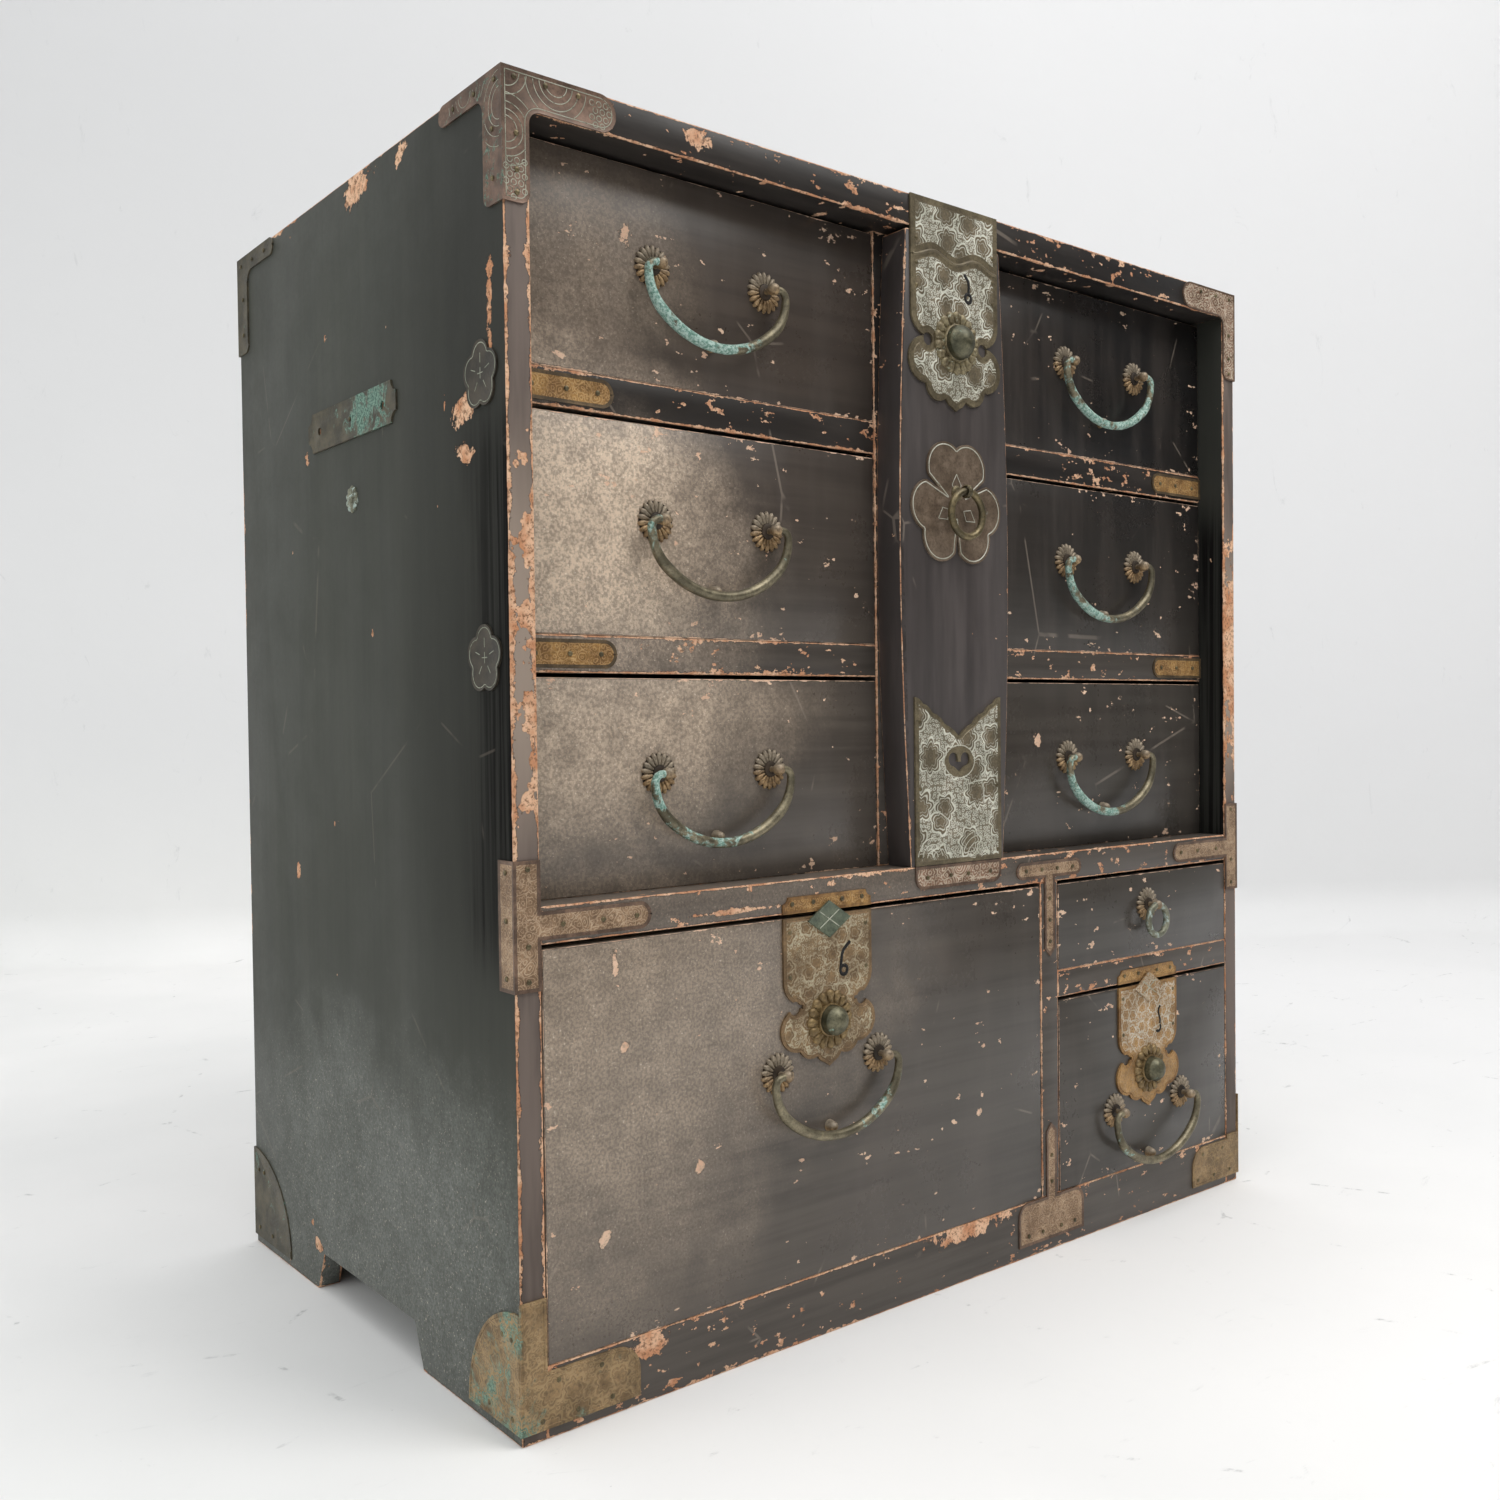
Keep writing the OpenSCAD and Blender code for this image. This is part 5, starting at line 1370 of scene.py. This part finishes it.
# Each lock: its body, middle and top, and in millimetres its petals, rim and keyhole. The keyhole's slot is drawn
# from the middle of its ring, as seen from the front
bigRing = {"drop": 0.077, "reach": 22, "inner": 11.1, "petals": 16, "rim": 2.6, "looks": "brass",
           "petal": "lockPetal"}
locks = {
    "bar": {"body": "bar", "x": barMiddle, "top": 0.823, "drop": 0.080, "reach": 25, "inner": 13.6,
            "petals": 18, "rim": 5.0, "looks": "copper", "petal": "petalGrey", "tones": "olive oliveField",
            "slot": [(-4.6, 18.0), (-2.2, 16.0), (0.2, 12.8), (0.8, 9.0), (0.4, 4.0)], "sweep": (90, 450),
            "wide": 1.5},
    "big": {**bigRing, "body": "drawer_big", "x": -0.1355, "top": 0.308, "tones": "goldRim goldField",
            "diamond": "darkGreen", "sweep": (90, 450), "wide": 1.4,
            "slot": [(6.4, 20.5), (3.6, 18.2), (-0.2, 15.0), (-1.8, 11.5), (-2.4, 7.0), (-3.4, 1.0)]},
    "small": {**bigRing, "body": "drawer_small", "x": 0.2505, "top": 0.209, "tones": "gilt whiteField",
              "diamond": "whiteField", "sweep": (50, -150), "wide": 1.3,
              "slot": [(2.8, 19.6), (0.8, 17.0), (0.2, 14.0), (1.4, 10.5), (2.8, 7.0), (2.4, 3.6)]},
}


def closeKeyhole(plate, x, z):
    # the straight slot of the CAD plate is filled, so that a curved one can be laid in
    openMesh(plate)
    pick(plate, "faces", lambda f: abs(f.normal.y) < 0.5 and abs(f.calc_center_median().x - x) < 0.005
         and z - 0.006 < f.calc_center_median().z < z + 0.026)
    bpy.ops.mesh.delete(type="FACE")
    bpy.ops.mesh.select_all(action="SELECT")
    bpy.ops.mesh.fill_holes(sides=0)
    flatten()


def addDiamond(key, look, node):
    tones = look["diamond"] + " " + look["diamond"] + " green"
    diamond = makePlate(node, key + "LockDiamond", [toFront], tones,
                        lambda low, high: 0.02 < high.z - low.z < 0.04 and high.x - low.x < 0.043, 1.3 * mm)
    x, z = look["x"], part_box(node)[1].z - 0.0135
    _loops, level = outlineOf(diamond, toFront)
    cross = [[(x - 0.0095, z - rise), (x + 0.0095, z + rise)] for rise in (0.0062, -0.0062)]
    drawOn(diamond, toFront, cross, 0.4 * mm, level, 2, 0.6)
    place(diamond, look["body"], look["looks"], node)


def buildLock(key, look):
    node, name = key + "_lock_plate", key + "Lock"
    x, top, reach, inner = look["x"], look["top"], look["reach"], look["inner"]
    middle = top - look["drop"]
    plate = makePlate(node, name + "Plate", [], look["tones"] + " hole white",
                      lambda low, high: high.z - low.z > 0.1)
    closeKeyhole(plate, x + 0.015, top - 0.042)
    hole = circle(x, middle, (reach - 3) * mm)
    plate, level = layField(plate, look["rim"] * mm, [hole], look["tones"].split()[1])
    smoothShade(plate)
    # the keyhole is a dark raised stroke in the hole paint, painted shade standing in for the opening
    holeX, holeZ = x + 0.0146, top - 0.0425
    slot = [(holeX + u * mm, holeZ + v * mm) for u, v in look["slot"]]
    ring = arc(holeX, holeZ, 0.0034, *look["sweep"], 14)
    drawOn(plate, toFront, [slot, ring], look["wide"] * mm, level, 2, 0.3)
    width = reach * mm * pi / look["petals"] * 0.93
    petals = makePetals(look["petals"], inner * mm, reach * mm, width, 2.9 * mm)
    seat = makeTurned(36, (reach - 1.2, 0), (reach - 1.2, -0.6), (inner + 1.4, -1.0), (inner + 0.9, -2.9),
                      (inner, -3.2), (inner, -1.0))
    petals = joinPieces([petals, seat], name + "Petals")
    petals.data.transform(Matrix.Translation((x, plateFace, middle)))
    paintWith(petals, metals[look["petal"]])
    place(petals, look["body"], look["looks"], node, 40)
    whole = joinPieces([plate] + nailsAt(node, 0.006), name + "Plate")
    place(whole, look["body"], look["looks"], node)
    if "diamond" in look:
        addDiamond(key, look, node)


def barPlate(node, name, rim, holes):
    plate = makePlate(node, name, [], "olive oliveField hole white", lambda low, high: high.z - low.z > 0.02)
    return layField(plate, rim, holes, "oliveField")


def buildBarPlates():
    topPlate, level = barPlate("bar_top_plate", "barTopPlate", 5.0 * mm, [])
    # the wavy seam of the top plate
    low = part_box("bar_top_plate")[0]
    seam = [(barMiddle + (k / 40 - 0.5) * 0.094, low.z + 0.003 + 0.0032 * sin(4 * pi * k / 40 - pi / 2))
            for k in range(41)]
    drawOn(topPlate, toFront, [seam], 1.3 * mm, level - 0.2 * mm, 0)
    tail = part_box("bar_foot_plate")[0].z
    hole = circle(barMiddle, tail + 0.0797, 0.0122, 1.36)
    footPlate, level = barPlate("bar_foot_plate", "barFootPlate", 3.6 * mm, [hole])
    # a ring round the hole, waves at the lower left and rays at the lower right
    lines = [closed(circle(barMiddle, tail + 0.0797, 0.0129, 1.34))]
    lines += [arc(-0.026, tail + 0.005, r, 8, 172, 14) for r in (0.006, 0.011, 0.016)]
    lines += [arc(0.026, tail + 0.002, r, 12, 168, 14) for r in (0.013, 0.018, 0.022)]
    lines += [ray(0.026, tail + 0.002, t, 0.0035, 0.011) for t in range(20, 171, 15)]
    drawOn(footPlate, toFront, lines, 0.5 * mm, level - 0.1 * mm, 3)
    for node, plate in (("bar_top_plate", topPlate), ("bar_foot_plate", footPlate)):
        smoothShade(plate)
        place(joinPieces([plate] + nailsAt(node, 0.006), plate.name), "bar", "copper", node)
    print("bar plates built")


def makeEye():
    # the post and eye that the bar's ring pull hangs in, 12 mm in front of the face
    post = makeTurned(16, (2.2, 20), (2.2, -7), (3.0, -7.6))
    middle = (0, -12 * mm, 0)
    bpy.ops.mesh.primitive_torus_add(major_segments=20, minor_segments=8, major_radius=4.4 * mm,
                                     minor_radius=1.05 * mm, location=middle, rotation=(0, radians(90), 0))
    eye = settle(bpy.context.object)
    openMesh(eye, action="SELECT")
    resize(2.3, 1, 1, middle)
    closeMesh()
    hub = makeTurned(20, (6.2, -1.4), (6.2, -2.0), (4.6, -2.9), (2.6, -3.4))
    eye = joinPieces([post, eye, hub], "eye")
    eye.data.transform(Matrix.Translation((barMiddle, frontFace, 0.626)))
    paintWith(eye, metals["bronze"])
    return eye


def buildBlossom():
    # three heart-shaped leaves with pale rims, and kite lines towards the middle
    plate = makePlate("bar_blossom_plate", "barBlossomPlate", [toFront], "leaf leaf white",
                      lambda low, high: high.z - low.z > 0.05, 1.6 * mm)
    loops, level = outlineOf(plate, toFront)
    strokes = []
    for turn in (90, 210, 330):
        root, tip = (Vector(p) for p in ray(barMiddle, 0.617, turn, 0.009, 0.024))
        middle = root.lerp(tip, 0.42)
        wing = Vector((cos(radians(turn + 90)), sin(radians(turn + 90)))) * 0.0052
        strokes.append([tip, middle + wing, root, middle - wing, tip])
    drawOn(plate, toFront, strokes, 0.5 * mm, level - 0.1 * mm, 2)
    drawOn(plate, toFront, [closed(shrink(loops[0], 0.4 * mm))], 0.5 * mm, level + 0.1 * mm, 2, 0.5)
    place(joinPieces([plate, makeEye()], "barBlossomPlate"), "bar", "copper", "bar_blossom_plate")
    print("blossom plate built")


buildStraps()
buildCorners()
buildSideFittings()
buildBarPlates()
buildBlossom()
for key, look in locks.items():
    buildLock(key, look)
print("locks built")

nodeTones = {"bar_ring": "bronze", "ring_pull": "greenRing"}
for key in locks:
    nodeTones.update({key + "_button": "dome", key + "_bolt": "iron", key + "_lock_case": "iron"})
for node, tone in nodeTones.items():
    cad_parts[node].data.materials[0] = metals[tone]
for spare in (rosetteOne, studOne, bailOne, nailOne):
    toss(spare)
